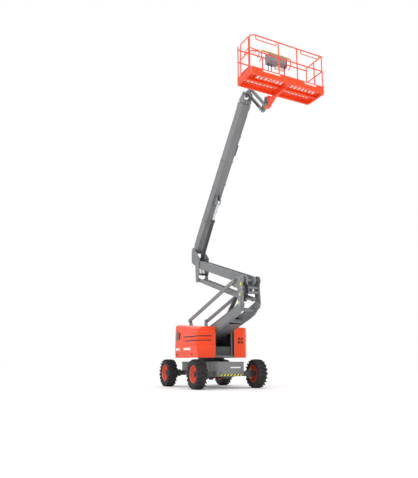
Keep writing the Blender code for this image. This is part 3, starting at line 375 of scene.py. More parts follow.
def buildRim(end, side, sign):
    low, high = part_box(f"rim_{end}_{side}")
    centre, seat, half = (low + high) / 2, (high.z - low.z) / 2, (high.y - low.y) / 2
    hubSeat = 0.045
    place = Matrix.Rotation(math.radians(-90 * sign), 4, "X")
    shape = bmesh.new()
    profile = [(seat, -half), (seat, -half + 0.012), (seat - 0.012, -half + 0.020),
               (seat - 0.014, -0.02), (seat - 0.014, 0.05), (seat - 0.012, half - 0.020),
               (seat, half - 0.012), (seat, half), (seat - 0.010, half),
               (seat - 0.020, half - 0.014),
               (seat - 0.030, half - 0.030), (seat - 0.036, hubSeat + 0.012),
               (seat - 0.060, hubSeat + 0.002), (0.135, hubSeat + 0.006), (0.120, hubSeat + 0.016),
               (0.0, hubSeat + 0.016), (0.0, hubSeat - 0.004), (0.118, hubSeat - 0.004),
               (0.14, hubSeat - 0.016), (seat - 0.05, hubSeat - 0.018),
               (seat - 0.040, hubSeat - 0.030), (seat - 0.024, -half + 0.026),
               (seat - 0.012, -half)]
    addTurned(shape, profile, place, 64)
    bmesh.ops.translate(shape, verts=shape.verts, vec=centre)
    finishPiece(f"wheelDisc_{end}_{side}", shape, "rimEnamel", f"wheel_{end}_{side}",
                [f"rim_{end}_{side}"])
    shape = bmesh.new()
    out = Vector((0, sign, 0))
    face = centre + out * (hubSeat + 0.016)
    addTurned(shape, [(0.0, 0.0), (0.070, 0.0), (0.070, 0.020), (0.062, 0.040), (0.035, 0.052),
                      (0.0, 0.054)],
              Matrix.Translation(face) @ place, 40)
    for i in range(wheel["bolts"]):
        turn = math.tau * i / wheel["bolts"]
        spot = face + Vector((math.cos(turn), 0, math.sin(turn))) * wheel["boltCircle"]
        addBolt(shape, spot, out, 0.019)
    for i in range(6):
        turn = math.tau * (i + 0.5) / 6
        spot = face + out * 0.040 + Vector((math.cos(turn), 0, math.sin(turn))) * 0.050
        addBolt(shape, spot - out * 0.003, out, 0.009)
    valve = centre + out * (hubSeat + 0.004) + Vector((0.165, 0, 0.04))
    addBar(shape, valve, valve + out * 0.045, 0.006, 12)
    finishPiece(f"hubDrive_{end}_{side}", shape, "darkEnamel", f"wheel_{end}_{side}")


for end in ("front", "rear"):
    for side, sign in (("left", 1), ("right", -1)):
        buildTyre(end, side, sign)
        buildRim(end, side, sign)
print("wheels done")


# --- chassis, axles ---
chassis = {"middle": -1.59, "stripMargin": 0.07, "stripHeight": 0.052, "stripes": 7,
           "plateProud": 0.002, "ribs": 7, "ribPitch": 0.26, "bowlDrop": 0.035}


def buildStripes(name, body, origin, along_, up, width, height, count, out):
    origin, along_, up, out = Vector(origin), Vector(along_), Vector(up), Vector(out)
    shape = bmesh.new()
    addPlate(shape, [origin, origin + along_ * width, origin + along_ * width + up * height,
                     origin + up * height], out * 0.0012)
    finishPiece(name + "Black", shape, "blackPlasticAndPaintedShade", body)
    shape = bmesh.new()
    pitch = width / count
    for i in range(count):
        a = origin + along_ * (pitch * i + pitch * 0.05) + out * 0.0013
        lean = min(height, pitch * 0.45)
        addPlate(shape, [a, a + along_ * pitch * 0.5,
                         a + along_ * (pitch * 0.5 + lean) + up * height,
                         a + along_ * lean + up * height], out * 0.0012)
    finishPiece(name + "Yellow", shape, "yellowVinyl", body)


def buildChassis():
    low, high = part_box("chassis_frame")
    margin, middle, proud = chassis["stripMargin"], chassis["middle"], chassis["plateProud"]
    for name, x, y, out in (("frontHazardStrip", high.x, low.y + margin, 1),
                            ("rearHazardStrip", low.x, high.y - margin, -1)):
        buildStripes(name, "chassis", (x, y, low.z + 0.012), (0, out, 0), (0, 0, 1),
                     high.y - low.y - 2 * margin, chassis["stripHeight"], chassis["stripes"],
                     (out, 0, 0))
    shape = bmesh.new()
    for x, out in ((high.x, 1), (low.x, -1)):   # blank rating plates, one at each end
        addBox(shape, (x, -0.02 if out > 0 else -0.30, 0.595),
               (x + out * proud, 0.32 if out > 0 else 0.04, 0.630))
    for sign in (-1, 1):
        y = sign * high.y
        addBox(shape, (middle + 0.2, y, 0.60), (middle + 0.46, y + sign * proud, 0.66))
    finishPiece("blankPlates", shape, "whiteVinyl", "chassis")
    shape = bmesh.new()
    for sign in (-1, 1):   # tie-down lugs and side ribs
        for x, out in ((high.x, 1), (low.x, -1)):
            base = Vector((x, sign * 0.36, 0.50))
            addTube(shape, [base, base + Vector((out * 0.045, 0, 0)),
                            base + Vector((out * 0.045, 0, -0.09)), base + Vector((0, 0, -0.09))],
                    0.011, 0.03)
        side, rib, lip = (sign * (high.y + stand) for stand in (0, 0.02, 0.024))
        for i in range(chassis["ribs"]):
            x = low.x + 0.50 + i * chassis["ribPitch"]
            addBox(shape, (x, side, low.z + 0.03), (x + 0.016, rib, high.z - 0.03))
        addBox(shape, (low.x + 0.06, side, high.z - 0.035), (high.x - 0.06, lip, high.z - 0.012),
               0.004)
        addBox(shape, (low.x + 0.40, side, low.z + 0.012), (high.x - 0.42, lip, low.z + 0.035),
               0.004)
    for x, out in ((high.x, 1), (low.x, -1)):   # folded frame round each end panel
        for y0, y1, z0, z1 in ((-0.415, 0.415, high.z - 0.028, high.z - 0.004),
                               (-0.415, -0.395, low.z + 0.075, high.z - 0.028),
                               (0.395, 0.415, low.z + 0.075, high.z - 0.028)):
            addBox(shape, (x, y0, z0), (x + out * 0.008, y1, z1), 0.002)
    for x, row in ((high.x - 0.10, (-0.38, -0.19, 0.19, 0.38)),
                   (low.x + 0.10, (-0.38, -0.19, 0.0, 0.19, 0.38))):
        for y in row:
            addBolt(shape, (x, y, high.z), (0, 0, 1), 0.014)
    finishPiece("chassisRibs", shape, "greyEnamel", "chassis")
    # rotary manifold and drive hoses under the chassis
    shape = bmesh.new()
    addBar(shape, (middle, 0, low.z - 0.10), (middle, 0, low.z + 0.005), 0.11, 32)
    addBar(shape, (middle, 0, low.z - 0.14), (middle, 0, low.z - 0.10), 0.075, 32)
    finishPiece("rotaryManifold", shape, "darkEnamel", "chassis")
    shape = bmesh.new()
    for sign in (-1, 1):
        for k, x in enumerate((middle - 0.05, middle + 0.05)):
            reach = 1 if k else -1
            end = joints["wheel_front_left" if k else "wheel_rear_left"].x
            addTube(shape, [(x, sign * 0.07, low.z - 0.06),
                            (x + reach * 0.12, sign * 0.16, low.z - 0.07),
                            (end - reach * 0.30, sign * 0.24, low.z - 0.03),
                            (end - reach * 0.12, sign * 0.34, low.z - 0.005)], 0.013, 0.1)
    finishPiece("driveHoses", shape, "hoseRubber", "chassis")


def buildAxleDetail():
    shape = bmesh.new()
    front, rear = joints["wheel_front_left"], joints["wheel_rear_left"]
    z, bowl = front.z, front.z - chassis["bowlDrop"]
    # steering cylinder ahead of the front axle, clamped to its beam
    x = front.x + 0.115
    addBar(shape, (x, -0.24, z + 0.02), (x, 0.24, z + 0.02), 0.038, 24)
    for y in (-0.20, 0.20):
        addBox(shape, (x - 0.045, y - 0.02, z - 0.03), (x + 0.03, y + 0.02, z + 0.06), 0.005)
    # differential bowls
    for centreX, swell in ((front.x, 0.110), (rear.x, 0.145)):
        addTurned(shape, [(0.0, -0.15), (0.09, -0.14), (swell - 0.01, -0.10), (swell, 0.0),
                          (swell - 0.01, 0.10), (0.09, 0.14), (0.0, 0.15)],
                  Matrix.Translation((centreX, 0, bowl)) @ Matrix.Rotation(
                      math.radians(90), 4, "X"), 36)
        for sign in (-1, 1):
            for i in range(8):
                turn = math.tau * i / 8
                addBolt(shape, (centreX + math.cos(turn) * 0.095, sign * 0.128,
                                bowl + math.sin(turn) * 0.095), (0, sign, 0), 0.011)
    finishPiece("axleCastings", shape, "darkEnamel", "chassis")
    shape = bmesh.new()
    for sign in (-1, 1):
        addBar(shape, (x, sign * 0.24, z + 0.02), (x, sign * 0.40, z + 0.02), 0.018, 20)
    finishPiece("steeringRods", shape, "hardChrome", "chassis")
    for side, sign in (("left", 1), ("right", -1)):
        shape = bmesh.new()
        pin = joints["steer_" + side]
        for end in (-1, 1):
            addBar(shape, pin + Vector((0, 0, end * 0.112)), pin + Vector((0, 0, end * 0.132)),
                   0.052, 24)
            for i in range(4):
                turn = math.tau * (i + 0.5) / 4
                addBolt(shape, pin + Vector((math.cos(turn) * 0.034, math.sin(turn) * 0.034,
                                             end * 0.132)), (0, 0, end), 0.009)
        finishPiece("kingpinCaps_" + side, shape, "zincSteel", "chassis")


buildChassis()
buildAxleDetail()
print("chassis done")


# --- turntable ---
hood = {"bottom": 0.90, "crease": 1.30, "corner": 0.25, "tuck": 0.035, "ventPitch": 0.105,
        "louvres": ((0.74, 1.555), (0.84, 1.425)), "louvreEnd": {"left": 0.66, "right": 0.45}}


def buildTurntable():
    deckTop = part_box("engine_block")[0].z
    axis = joints["turntable_swing"]
    shape = bmesh.new()
    for i in range(28):   # slewing ring bolts
        turn = math.tau * i / 28
        addBolt(shape, (axis.x + math.cos(turn) * 0.36, axis.y + math.sin(turn) * 0.36, deckTop),
                (0, 0, 1), 0.016)
    finishPiece("slewBolts", shape, "zincSteel", "turntable")
    shape = bmesh.new()
    for i in range(60):   # slewing ring teeth under the deck
        turn = math.tau * i / 60
        spin = Matrix.Translation((axis.x, axis.y, 0)) @ Matrix.Rotation(turn, 4, "Z")
        addBox(shape, (0.415, -0.008, 0.79), (0.436, 0.008, 0.86), 0, spin)
    finishPiece("slewTeeth", shape, "castIron", "chassis")
    # front closing panel between the hoods with a valve block and hoses behind it
    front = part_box("hood_right")[1].x - 0.10
    shape = bmesh.new()
    addBox(shape, (front, -0.262, deckTop), (front + 0.008, 0.262, deckTop + 0.27), 0.002)
    addBox(shape, (front - 0.05, -0.262, deckTop + 0.262), (front + 0.004, 0.262, deckTop + 0.27))
    for y in (-0.23, 0.23):
        for z in (0.03, 0.24):
            addBolt(shape, (front + 0.008, y, deckTop + z), (1, 0, 0), 0.011)
    for y in (-0.12, 0.0, 0.12):
        addBox(shape, (front + 0.008, y - 0.04, deckTop + 0.09),
               (front + 0.014, y + 0.04, deckTop + 0.20), 0.002)
    finishPiece("frontClosingPanel", shape, "darkEnamel", "turntable")
    shape = bmesh.new()
    addBox(shape, (axis.x + 0.26, -0.15, deckTop), (axis.x + 0.56, 0.15, deckTop + 0.16), 0.006)
    for x in (0.30, 0.38, 0.46, 0.54):
        for y in (-0.08, 0.08):
            addBar(shape, (axis.x + x, y, deckTop + 0.16), (axis.x + x, y, deckTop + 0.215),
                   0.022, 20)
    finishPiece("valveBlock", shape, "zincSteel", "turntable")
    shape = bmesh.new()
    pivot = joints["riser_lift"]
    for k, y in enumerate((-0.12, -0.07, -0.02, 0.03, 0.08, 0.13)):
        addTube(shape, [(axis.x + 0.25, y * 0.8, deckTop + 0.10),
                        (axis.x + 0.12, y, deckTop + 0.10),
                        (axis.x - 0.10, y, deckTop + 0.05),
                        (pivot.x + 0.12, y * 1.2, pivot.z - 0.34 + 0.01 * k),
                        (pivot.x - 0.06, y * 1.2, pivot.z - 0.24)], 0.012, 0.10)
    finishPiece("valveHoses", shape, "hoseRubber", "turntable")
    # pins and caps of the arm and link feet
    shape = bmesh.new()
    foot, outer = joints["riser_link_level"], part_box("riser_link_left")[1].y
    for sign in (-1, 1):
        addPinCap(shape, (foot.x, sign * (outer + 0.002), foot.z), sign, 0.048)
        addPinCap(shape, (pivot.x, sign * 0.299, pivot.z), sign, 0.060)
    finishPiece("turretPinCaps", shape, "zincSteel", "turntable")


def buildHood(side, sign):
    body = "hood_" + side
    low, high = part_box(body)
    outer = high.y if sign > 0 else low.y
    bottom, crease, corner = hood["bottom"], hood["crease"], hood["corner"]

    def skin(z, gap=0.0):
        y = abs(outer) - (hood["tuck"] * (crease - z) / (crease - bottom) if z < crease else 0)
        return sign * (y + gap)

    def skirt(start, end):
        # points and outward directions round the front corner, in plan
        middle = Vector((high.x - corner, outer - sign * corner, 0))
        points = [(Vector((start, outer, 0)), Vector((0, sign, 0)))]
        for i in range(9):
            turn = math.radians(90 - 90 * i / 8)
            out = Vector((math.cos(turn), sign * math.sin(turn), 0))
            points.append((middle + out * corner, out))
        if end > abs(outer) - corner:    # stops part of the way round
            return points[:5]
        return points + [(Vector((high.x, sign * end, 0)), Vector((1, 0, 0)))]

    def addSweep(shape, path, section):
        rings = [[shape.verts.new(point + out * gap + Vector((0, 0, z))) for gap, z in section]
                 for point, out in path]
        count = len(section)
        for a, b in zip(rings, rings[1:]):
            for i in range(count):
                shape.faces.new((a[i - 1], a[i], b[i], b[i - 1]))
        shape.faces.new(rings[0])
        shape.faces.new(rings[-1])

    louvreEnd = hood["louvreEnd"][side]
    louvres = [(low.x + x, z) for x, z in hood["louvres"]]
    shape = bmesh.new()
    # raised waist moulding along the crease, and a rolled lower edge
    addSweep(shape, skirt(low.x + 0.06, 0.35),
             [(-0.001, crease - 0.010), (0.008, crease - 0.004), (0.008, crease + 0.004),
              (-0.001, crease + 0.010)])
    z = bottom + 0.012
    addTube(shape, [(low.x + 0.06, skin(z) - sign * 0.001, z),
                    (high.x - 0.24, skin(z) - sign * 0.001, z)], 0.006, 0.02, 8)
    # two long louvres: hooded lips; the shade in the recess under them is painted, as a black sheet built below
    for x0, z in louvres:
        addSweep(shape, skirt(x0, louvreEnd), [(-0.001, z + 0.030), (0.024, z + 0.002),
                                               (0.021, z - 0.002), (-0.001, z + 0.022)])
    finishPiece(f"hoodTrim_{side}", shape, "orangeEnamel", body)
    # black sheets of painted shade: the backs of the louvre recesses, the vent openings and the slot
    shape = bmesh.new()
    for x0, z in louvres:
        addSweep(shape, skirt(x0 + 0.004, louvreEnd + 0.004),
                 [(-0.001, z - 0.026), (0.003, z - 0.026), (0.003, z + 0.022),
                  (-0.001, z + 0.022)])
    if side == "left":   # black sheets behind the four square vents: painted shade in the openings
        for i in range(2):
            for k in range(2):
                y0, z0 = 0.47 + i * hood["ventPitch"], 1.33 + k * hood["ventPitch"]
                addBox(shape, (high.x - 0.024, y0 - 0.01, z0 - 0.01),
                       (high.x - 0.019, y0 + 0.085, z0 + 0.085))
    slot = 1.46, 1.69    # lower and upper end of the slot beside the grab liner, its shade painted as a black sheet
    addBox(shape, (low.x + 0.34, skin(slot[0]), slot[0]),
           (low.x + 0.42, skin(slot[0], 0.003), slot[1]))
    finishPiece(f"hoodRecessPaintedShade_{side}", shape, "blackPlasticAndPaintedShade", body)
    shape = bmesh.new()
    # pale liner of the grab slot, standing just proud of the skin
    addBox(shape, (low.x + 0.13, skin(1.6), 1.43), (low.x + 0.21, skin(1.6, 0.006), 1.75), 0.002)
    finishPiece(f"hoodGrabLiner_{side}", shape, "mouldedPlastic", body)
    shape = bmesh.new()
    z = bottom + 0.10
    y = skin(z)
    for x in (low.x + 0.20, low.x + 1.30):
        addBar(shape, (x, y - sign * 0.004, z), (x, y + sign * 0.006, z), 0.032, 24)
        addBox(shape, (x - 0.008, y, z - 0.022), (x + 0.008, y + sign * 0.014, z + 0.022), 0.002)
    finishPiece(f"hoodLatches_{side}", shape, "blackPlasticAndPaintedShade", body)
    shape = bmesh.new()
    z0, z1 = 1.13, 1.20
    for x0, x1 in ((0.10, 0.42), (0.72, 1.22)):
        addPlate(shape, [(low.x + x0, skin(z0), z0), (low.x + x1, skin(z0), z0),
                         (low.x + x1, skin(z1), z1), (low.x + x0, skin(z1), z1)],
                 (0, sign * 0.0015, 0))
    finishPiece(f"hoodBlankStrips_{side}", shape, "whiteVinyl", body)


buildTurntable()
for side, sign in (("left", 1), ("right", -1)):
    buildHood(side, sign)


def buildCounterweightDetail():
    low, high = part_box("counterweight")
    buildStripes("tailHazardStrip", "turntable", (low.x, 0.34, low.z + 0.03), (0, -1, 0),
                 (0, 0, 1), 0.68, 0.06, 6, (-1, 0, 0))
    shape = bmesh.new()
    for y in (-0.30, 0.30):
        base = Vector(((low.x + high.x) / 2 - 0.05, y, high.z))
        addTube(shape, [base + Vector((-0.05, 0, -0.01)), base + Vector((-0.04, 0, 0.07)),
                        base + Vector((0.04, 0, 0.07)), base + Vector((0.05, 0, -0.01))],
                0.012, 0.04)
    for y in (-0.20, 0.20):
        for z in (low.z + 0.16, high.z - 0.10):
            addBolt(shape, (low.x, y, z), (-1, 0, 0), 0.030)
    finishPiece("liftingEyes", shape, "zincSteel", "turntable")


buildCounterweightDetail()
print("turntable done")


# --- risers ---
def lyingAlong(spot, way):
    # places a shape at spot with its X along a direction that has no Y part
    return Matrix.Translation(spot) @ Matrix(((way.x, 0, -way.z, 0), (0, 1, 0, 0),
                                              (way.z, 0, way.x, 0), (0, 0, 0, 1)))


def addClamp(shape, spot, direction, count, pitch=0.034):
    half = count * pitch / 2 + 0.012
    addBox(shape, (-0.016, -half, -0.014), (0.016, half, 0.014), 0.003,
           lyingAlong(spot, direction))


def buildHoseRun(name, body, start, direction, length, rise, y, count, clampEvery=0.75):
    shape, clamps = bmesh.new(), bmesh.new()
    pitch = 0.030
    for k in range(count):
        side = y + (k - (count - 1) / 2) * pitch
        addTube(shape, [along(start, direction, 0, rise, side),
                        along(start, direction, length * 0.34, rise + 0.004 * (k % 2), side),
                        along(start, direction, length * 0.67, rise, side),
                        along(start, direction, length, rise, side)], 0.012, 0.08, 10)
    finishPiece(name, shape, "hoseRubber", body)
    steps = max(2, round(length / clampEvery))
    for i in range(steps):
        u = length * (i + 0.5) / steps
        addClamp(clamps, along(start, direction, u, rise, y), direction, count)
    finishPiece(name + "Clamps", clamps, "blackPlasticAndPaintedShade", body)


arm, armEnd = joints["riser_lift"], joints["mid_upright_level"]
armWay = (Vector((armEnd.x, 0, armEnd.z)) - Vector((arm.x, 0, arm.z))).normalized()
armLength = math.hypot(armEnd.x - arm.x, armEnd.z - arm.z)
centreArm = Vector((arm.x, 0, arm.z))
beamStart, beamEnd = joints["upper_riser_lift"], joints["boom_upright_level"]
beamWay = Vector((beamEnd.x - beamStart.x, 0, beamEnd.z - beamStart.z)).normalized()
beamLength = math.hypot(beamEnd.x - beamStart.x, beamEnd.z - beamStart.z)


def buildRisers():
    # lower arm: lightening flanges, hose run, pin caps
    shape = bmesh.new()
    far = 2.75    # where both flanges end along the arm
    for sign in (-1, 1):
        for edge in ([(0.18, 0.118), (far, 0.085), (far, 0.073), (0.18, 0.106)],
                     [(0.30, -0.130), (far, -0.180), (far, -0.192), (0.30, -0.142)]):
            addPlate(shape, [along(centreArm, armWay, u, v, sign * 0.265) for u, v in edge],
                     (0, 0.0065, 0))
    finishPiece("lowerArmFlanges", shape, "greyEnamel", "lower_riser")
    buildHoseRun("lowerArmHoses", "lower_riser", along(centreArm, armWay, 0.35), armWay,
                 armLength - 1.35, 0.03, 0.17, 4)
    shape = bmesh.new()
    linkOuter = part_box("riser_link_left")[1].y
    for sign in (-1, 1):
        for spot, radius, y in ((armEnd, 0.060, 0.307), (beamStart, 0.058, 0.297),
                                (joints["upper_link_level"], 0.046, 0.297)):
            addPinCap(shape, (spot.x, sign * y, spot.z), sign, radius)
        addPinCap(shape, (armEnd.x - 0.28, sign * (linkOuter + 0.010), armEnd.z + 0.73), sign,
                  0.046)
        for rise in (0.36, 0.50):    # ends of the knuckle's cross tubes
            addBar(shape, (armEnd.x + 0.06, sign * 0.297, armEnd.z + rise),
                   (armEnd.x + 0.06, sign * 0.303, armEnd.z + rise), 0.05, 24)
    finishPiece("knucklePinCaps", shape, "zincSteel", "mid_upright")
    shape = bmesh.new()   # blank yellow safety plates on the knuckle, front faces and outsides
    for sign in (-1, 1):
        for dx, dz, w, h in ((0.03, 0.60, 0.07, 0.09), (-0.03, 0.30, 0.07, 0.09),
                             (-0.06, 0.06, 0.07, 0.08)):
            addBox(shape, (armEnd.x + dx - w / 2, sign * 0.297, armEnd.z + dz - h / 2),
                   (armEnd.x + dx + w / 2, sign * 0.299, armEnd.z + dz + h / 2))
    finishPiece("knuckleBlankPlates", shape, "yellowVinyl", "mid_upright")
    shape = bmesh.new()
    for k in range(4):   # hoses pass through the knuckle, past its cross tubes
        y = -0.20 + 0.028 * k
        base = Vector((armEnd.x, y, armEnd.z))
        addTube(shape, [base + Vector((0.02, 0, 0.10)), base + Vector((0.125, 0, 0.34)),
                        base + Vector((0.125, 0, 0.50)), base + Vector((0.06, 0, 0.62))],
                0.012, 0.10, 10)
    finishPiece("knuckleHoses", shape, "hoseRubber", "mid_upright")
    buildHoseRun("upperBeamHoses", "upper_riser", along(beamStart, beamWay, 0.35), beamWay,
                 beamLength - 0.75, -0.095, -beamStart.y, 3)
    shape = bmesh.new()
    for sign in (-1, 1):   # beam side flanges, top and bottom
        for v in (0.122, -0.130):
            outline = [(0.22, v), (beamLength - 0.20, v), (beamLength - 0.20, v + 0.008),
                       (0.22, v + 0.008)]
            y0 = 0.160 if sign > 0 else -0.168
            addPlate(shape, [along(Vector((beamStart.x, 0, beamStart.z)), beamWay, u, w, y0)
                             for u, w in outline], (0, 0.008, 0))
    finishPiece("upperBeamFlanges", shape, "greyEnamel", "upper_riser")
    shape = bmesh.new()   # hose drum loops inside the boom's upright
    link = Vector((beamEnd.x, 0, beamEnd.z - 0.54))
    for k in range(5):
        y = -0.11 + 0.055 * k
        turns = []
        for i in range(15):
            turn = math.radians(100 - i * 24)
            turns.append(link + Vector((0.16 + math.cos(turn) * 0.115, y,
                                        0.27 + math.sin(turn) * 0.135)))
        addTube(shape, turns, 0.013, 0.04, 10)
    finishPiece("uprightHoseLoops", shape, "hoseRubber", "boom_upright")
    shape = bmesh.new()
    foot = joints["boom_lift"]
    for sign in (-1, 1):
        for spot, radius in ((foot, 0.058), (beamEnd, 0.058),
                             (joints["boom_cylinder_pivot"], 0.044), (link, 0.046)):
            addPinCap(shape, (spot.x, sign * 0.190, spot.z), sign, radius)
    finishPiece("uprightPinCaps", shape, "zincSteel", "boom_upright")


barrels = {"riser_cylinder": 1.28, "boom_cylinder": 1.48}    # lengths, foot pin to gland


def buildCylinder(name, length, radius=0.062):
    foot = joints[name + "_pivot"]
    record = [j for j in frame["joints"] if j["name"] == name + "_stroke"][0]
    way = Vector(record["axis"]).normalized()
    low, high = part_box(name + "_rod")
    middleY = (low.y + high.y) / 2
    footSpot = Vector((foot.x, middleY, foot.z))
    rodMiddle = Vector(((low.x + high.x) / 2, 0, (low.z + high.z) / 2))
    if (rodMiddle - Vector((foot.x, 0, foot.z))).dot(way) < 0:
        way = -way
    shape = bmesh.new()
    gland = footSpot + way * (length - 0.07)
    addBar(shape, gland, gland + way * 0.05, radius + 0.014, 6)
    square = Vector((-way.z, 0, way.x))
    for u in (0.14, length - 0.14):   # ports and the hard line between them
        port = footSpot + way * u
        addBar(shape, port, port + square * (radius + 0.028), 0.018, 12)
    line = footSpot + square * (radius + 0.022)
    addTube(shape, [line + way * 0.14, line + way * 0.20 + square * 0.012,
                    line + way * (length - 0.20) + square * 0.012, line + way * (length - 0.14)],
            0.008, 0.03, 8)
    for u in (0.30, length * 0.5, length - 0.30):
        addBox(shape, (-0.012, -0.02, -0.010), (0.012, 0.02, 0.016), 0.002,
               lyingAlong(line + way * u, way))
    finishPiece(name + "Fittings", shape, "darkEnamel", name + "_barrel")


buildRisers()
for name, length in barrels.items():
    buildCylinder(name, length)
print("risers done")


# --- boom ---
boomFoot = Vector((joints["boom_lift"].x, 0, joints["boom_lift"].z))
jibFoot = Vector((joints["jib_level"].x, 0, joints["jib_level"].z))
boomWay = (jibFoot - boomFoot).normalized()
boomReach = (jibFoot - boomFoot).length
boom = {"half": 0.13, "halfDepth": 0.16, "mouth": boomReach - 0.30}


def buildBoom():
    half, deep, mouth = boom["half"], boom["halfDepth"], boom["mouth"]
    shape = bmesh.new()
    for sign in (-1, 1):
        # corner weld beads along the four edges, collar ribs at the mouth
        for v in (-1, 1):
            addTube(shape, [along(boomFoot, boomWay, 0.40, v * deep, sign * half),
                            along(boomFoot, boomWay, mouth - 0.17, v * deep, sign * half)],
                    0.006, 0.02, 8)
    for u in (1.15, 2.35, 3.30, mouth - 0.34):   # stiffening bands round the section
        for v in (-1, 1):
            a, b = sorted((v * deep, v * (deep + 0.010)))
            addPlate(shape, [along(boomFoot, boomWay, u + du, w, -half - 0.010)
                             for du, w in ((0, a), (0.06, a), (0.06, b), (0, b))],
                     (0, 2 * half + 0.020, 0))
        for sign in (-1, 1):
            y0 = half if sign > 0 else -half - 0.010
            addPlate(shape, [along(boomFoot, boomWay, u + du, w, y0)
                             for du, w in ((0, -deep), (0.06, -deep), (0.06, deep), (0, deep))],
                     (0, 0.010, 0))
    finishPiece("boomBandsAndWelds", shape, "greyEnamel", "boom_base")
    shape = bmesh.new()
    for sign in (-1, 1):   # wear pad adjusters at the mouth
        for u in (mouth - 0.125, mouth - 0.045):
            for v in (-0.09, 0.09):
                spot = along(boomFoot, boomWay, u, v, sign * (half + 0.015))
                addBolt(shape, spot, (0, sign, 0), 0.016)
        for y in (-0.07, 0.07):
            for u in (mouth - 0.125, mouth - 0.045):
                square = Vector((-boomWay.z, 0, boomWay.x)) * sign
                addBolt(shape, along(boomFoot, boomWay, u, sign * (deep + 0.015), y), square,
                        0.016)
    finishPiece("wearPadBolts", shape, "zincSteel", "boom_base")
    # hose track beside the boom: a pale trough with hoses, clamped to the base boom
    shape = bmesh.new()
    y0 = half + 0.002
    for u0, u1 in ((1.30, 3.52), (4.08, mouth - 0.42)):
        addPlate(shape, [along(boomFoot, boomWay, u, v, y0)
                         for u, v in ((u0, -0.135), (u1, -0.135), (u1, -0.075), (u0, -0.075))],
                 (0, 0.012, 0))
    finishPiece("hoseTrough", shape, "darkEnamel", "boom_base")
    shape = bmesh.new()
    for k in range(2):
        y = half + 0.026
        v = -0.092 - 0.026 * k
        addTube(shape, [along(boomFoot, boomWay, 0.55, v, y), along(boomFoot, boomWay, 1.30, v, y),
                        along(boomFoot, boomWay, mouth - 0.30, v, y)], 0.011, 0.05, 10)
    finishPiece("boomHoses", shape, "hoseRubber", "boom_base")
    shape = bmesh.new()
    for u in (0.90, 1.60, 2.60, 3.40, 4.25):
        addPlate(shape, [along(boomFoot, boomWay, u + du, v, half)
                         for du, v in ((0, -0.14), (0.035, -0.14), (0.035, -0.07), (0, -0.07))],
                 (0, 0.044, 0))
    finishPiece("boomHoseClamps", shape, "blackPlasticAndPaintedShade", "boom_base")
    # jib end: pin caps
    shape = bmesh.new()
    for sign in (-1, 1):
        addPinCap(shape, (jibFoot.x, sign * 0.156, jibFoot.z), sign, 0.046)
    finishPiece("jibPinCaps", shape, "zincSteel", "boom_fly")


def buildJib():
    way = joints["platform_level"] - joints["jib_lift"]
    way.y = 0
    way.normalize()
    for name, body, sign in (("jib_lift", "jib_lower_tube", -1),
                             ("jib_upper_lift", "jib_upper_tube", 1)):
        nose = Vector((joints[name].x, 0, joints[name].z))
        shape = bmesh.new()
        for u in (0.0, 1.17):
            spot = nose + way * u
            addPinCap(shape, (spot.x, sign * 0.120, spot.z), sign, 0.034)
        finishPiece(body + "PinCaps", shape, "zincSteel", body)
        shape = bmesh.new()
        y = sign * 0.124
        for k in range(2):
            v = 0.018 - 0.030 * k
            addTube(shape, [along(nose, way, 0.10, v, y), along(nose, way, 0.58, v + 0.004, y),
                            along(nose, way, 1.06, v, y)], 0.010, 0.05, 10)
        finishPiece(body + "Hoses", shape, "hoseRubber", body)
        shape = bmesh.new()
        for u in (0.24, 0.58, 0.92):
            addPlate(shape, [along(nose, way, u + du, v, min(y, sign * 0.112))
                             for du, v in ((0, -0.028), (0.03, -0.028), (0.03, 0.034), (0, 0.034))],
                     (0, 0.026, 0))
        finishPiece(body + "Clamps", shape, "blackPlasticAndPaintedShade", body)
    axis = joints["platform_rotate"]
    low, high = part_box("platform_support")
    shape = bmesh.new()   # rotary actuator: flanged drum with end bolts
    top = high.z - 0.004
    for z in (top - 0.040, (low.z + top) / 2 + 0.02):
        addBar(shape, (axis.x, 0, z - 0.011), (axis.x, 0, z + 0.011), 0.088, 32)
    for i in range(10):
        turn = math.tau * i / 10
        spot = Vector((axis.x + math.cos(turn) * 0.0765, math.sin(turn) * 0.0765, top - 0.05))
        addBar(shape, spot - Vector((0, 0, 0.06)), spot, 0.007, 8)
    finishPiece("rotaryActuator", shape, "darkEnamel", "platform_support")


buildBoom()
buildJib()
print("boom and jib done")


# --- platform ---
deck = {"channel": 0.048, "toeBoard": 0.006, "cut": 0.03, "beam": 0.055, "spine": 0.032,
        "bars": 9, "railLap": 0.0155, "railRadius": 0.017, "gateRadius": 0.0153}


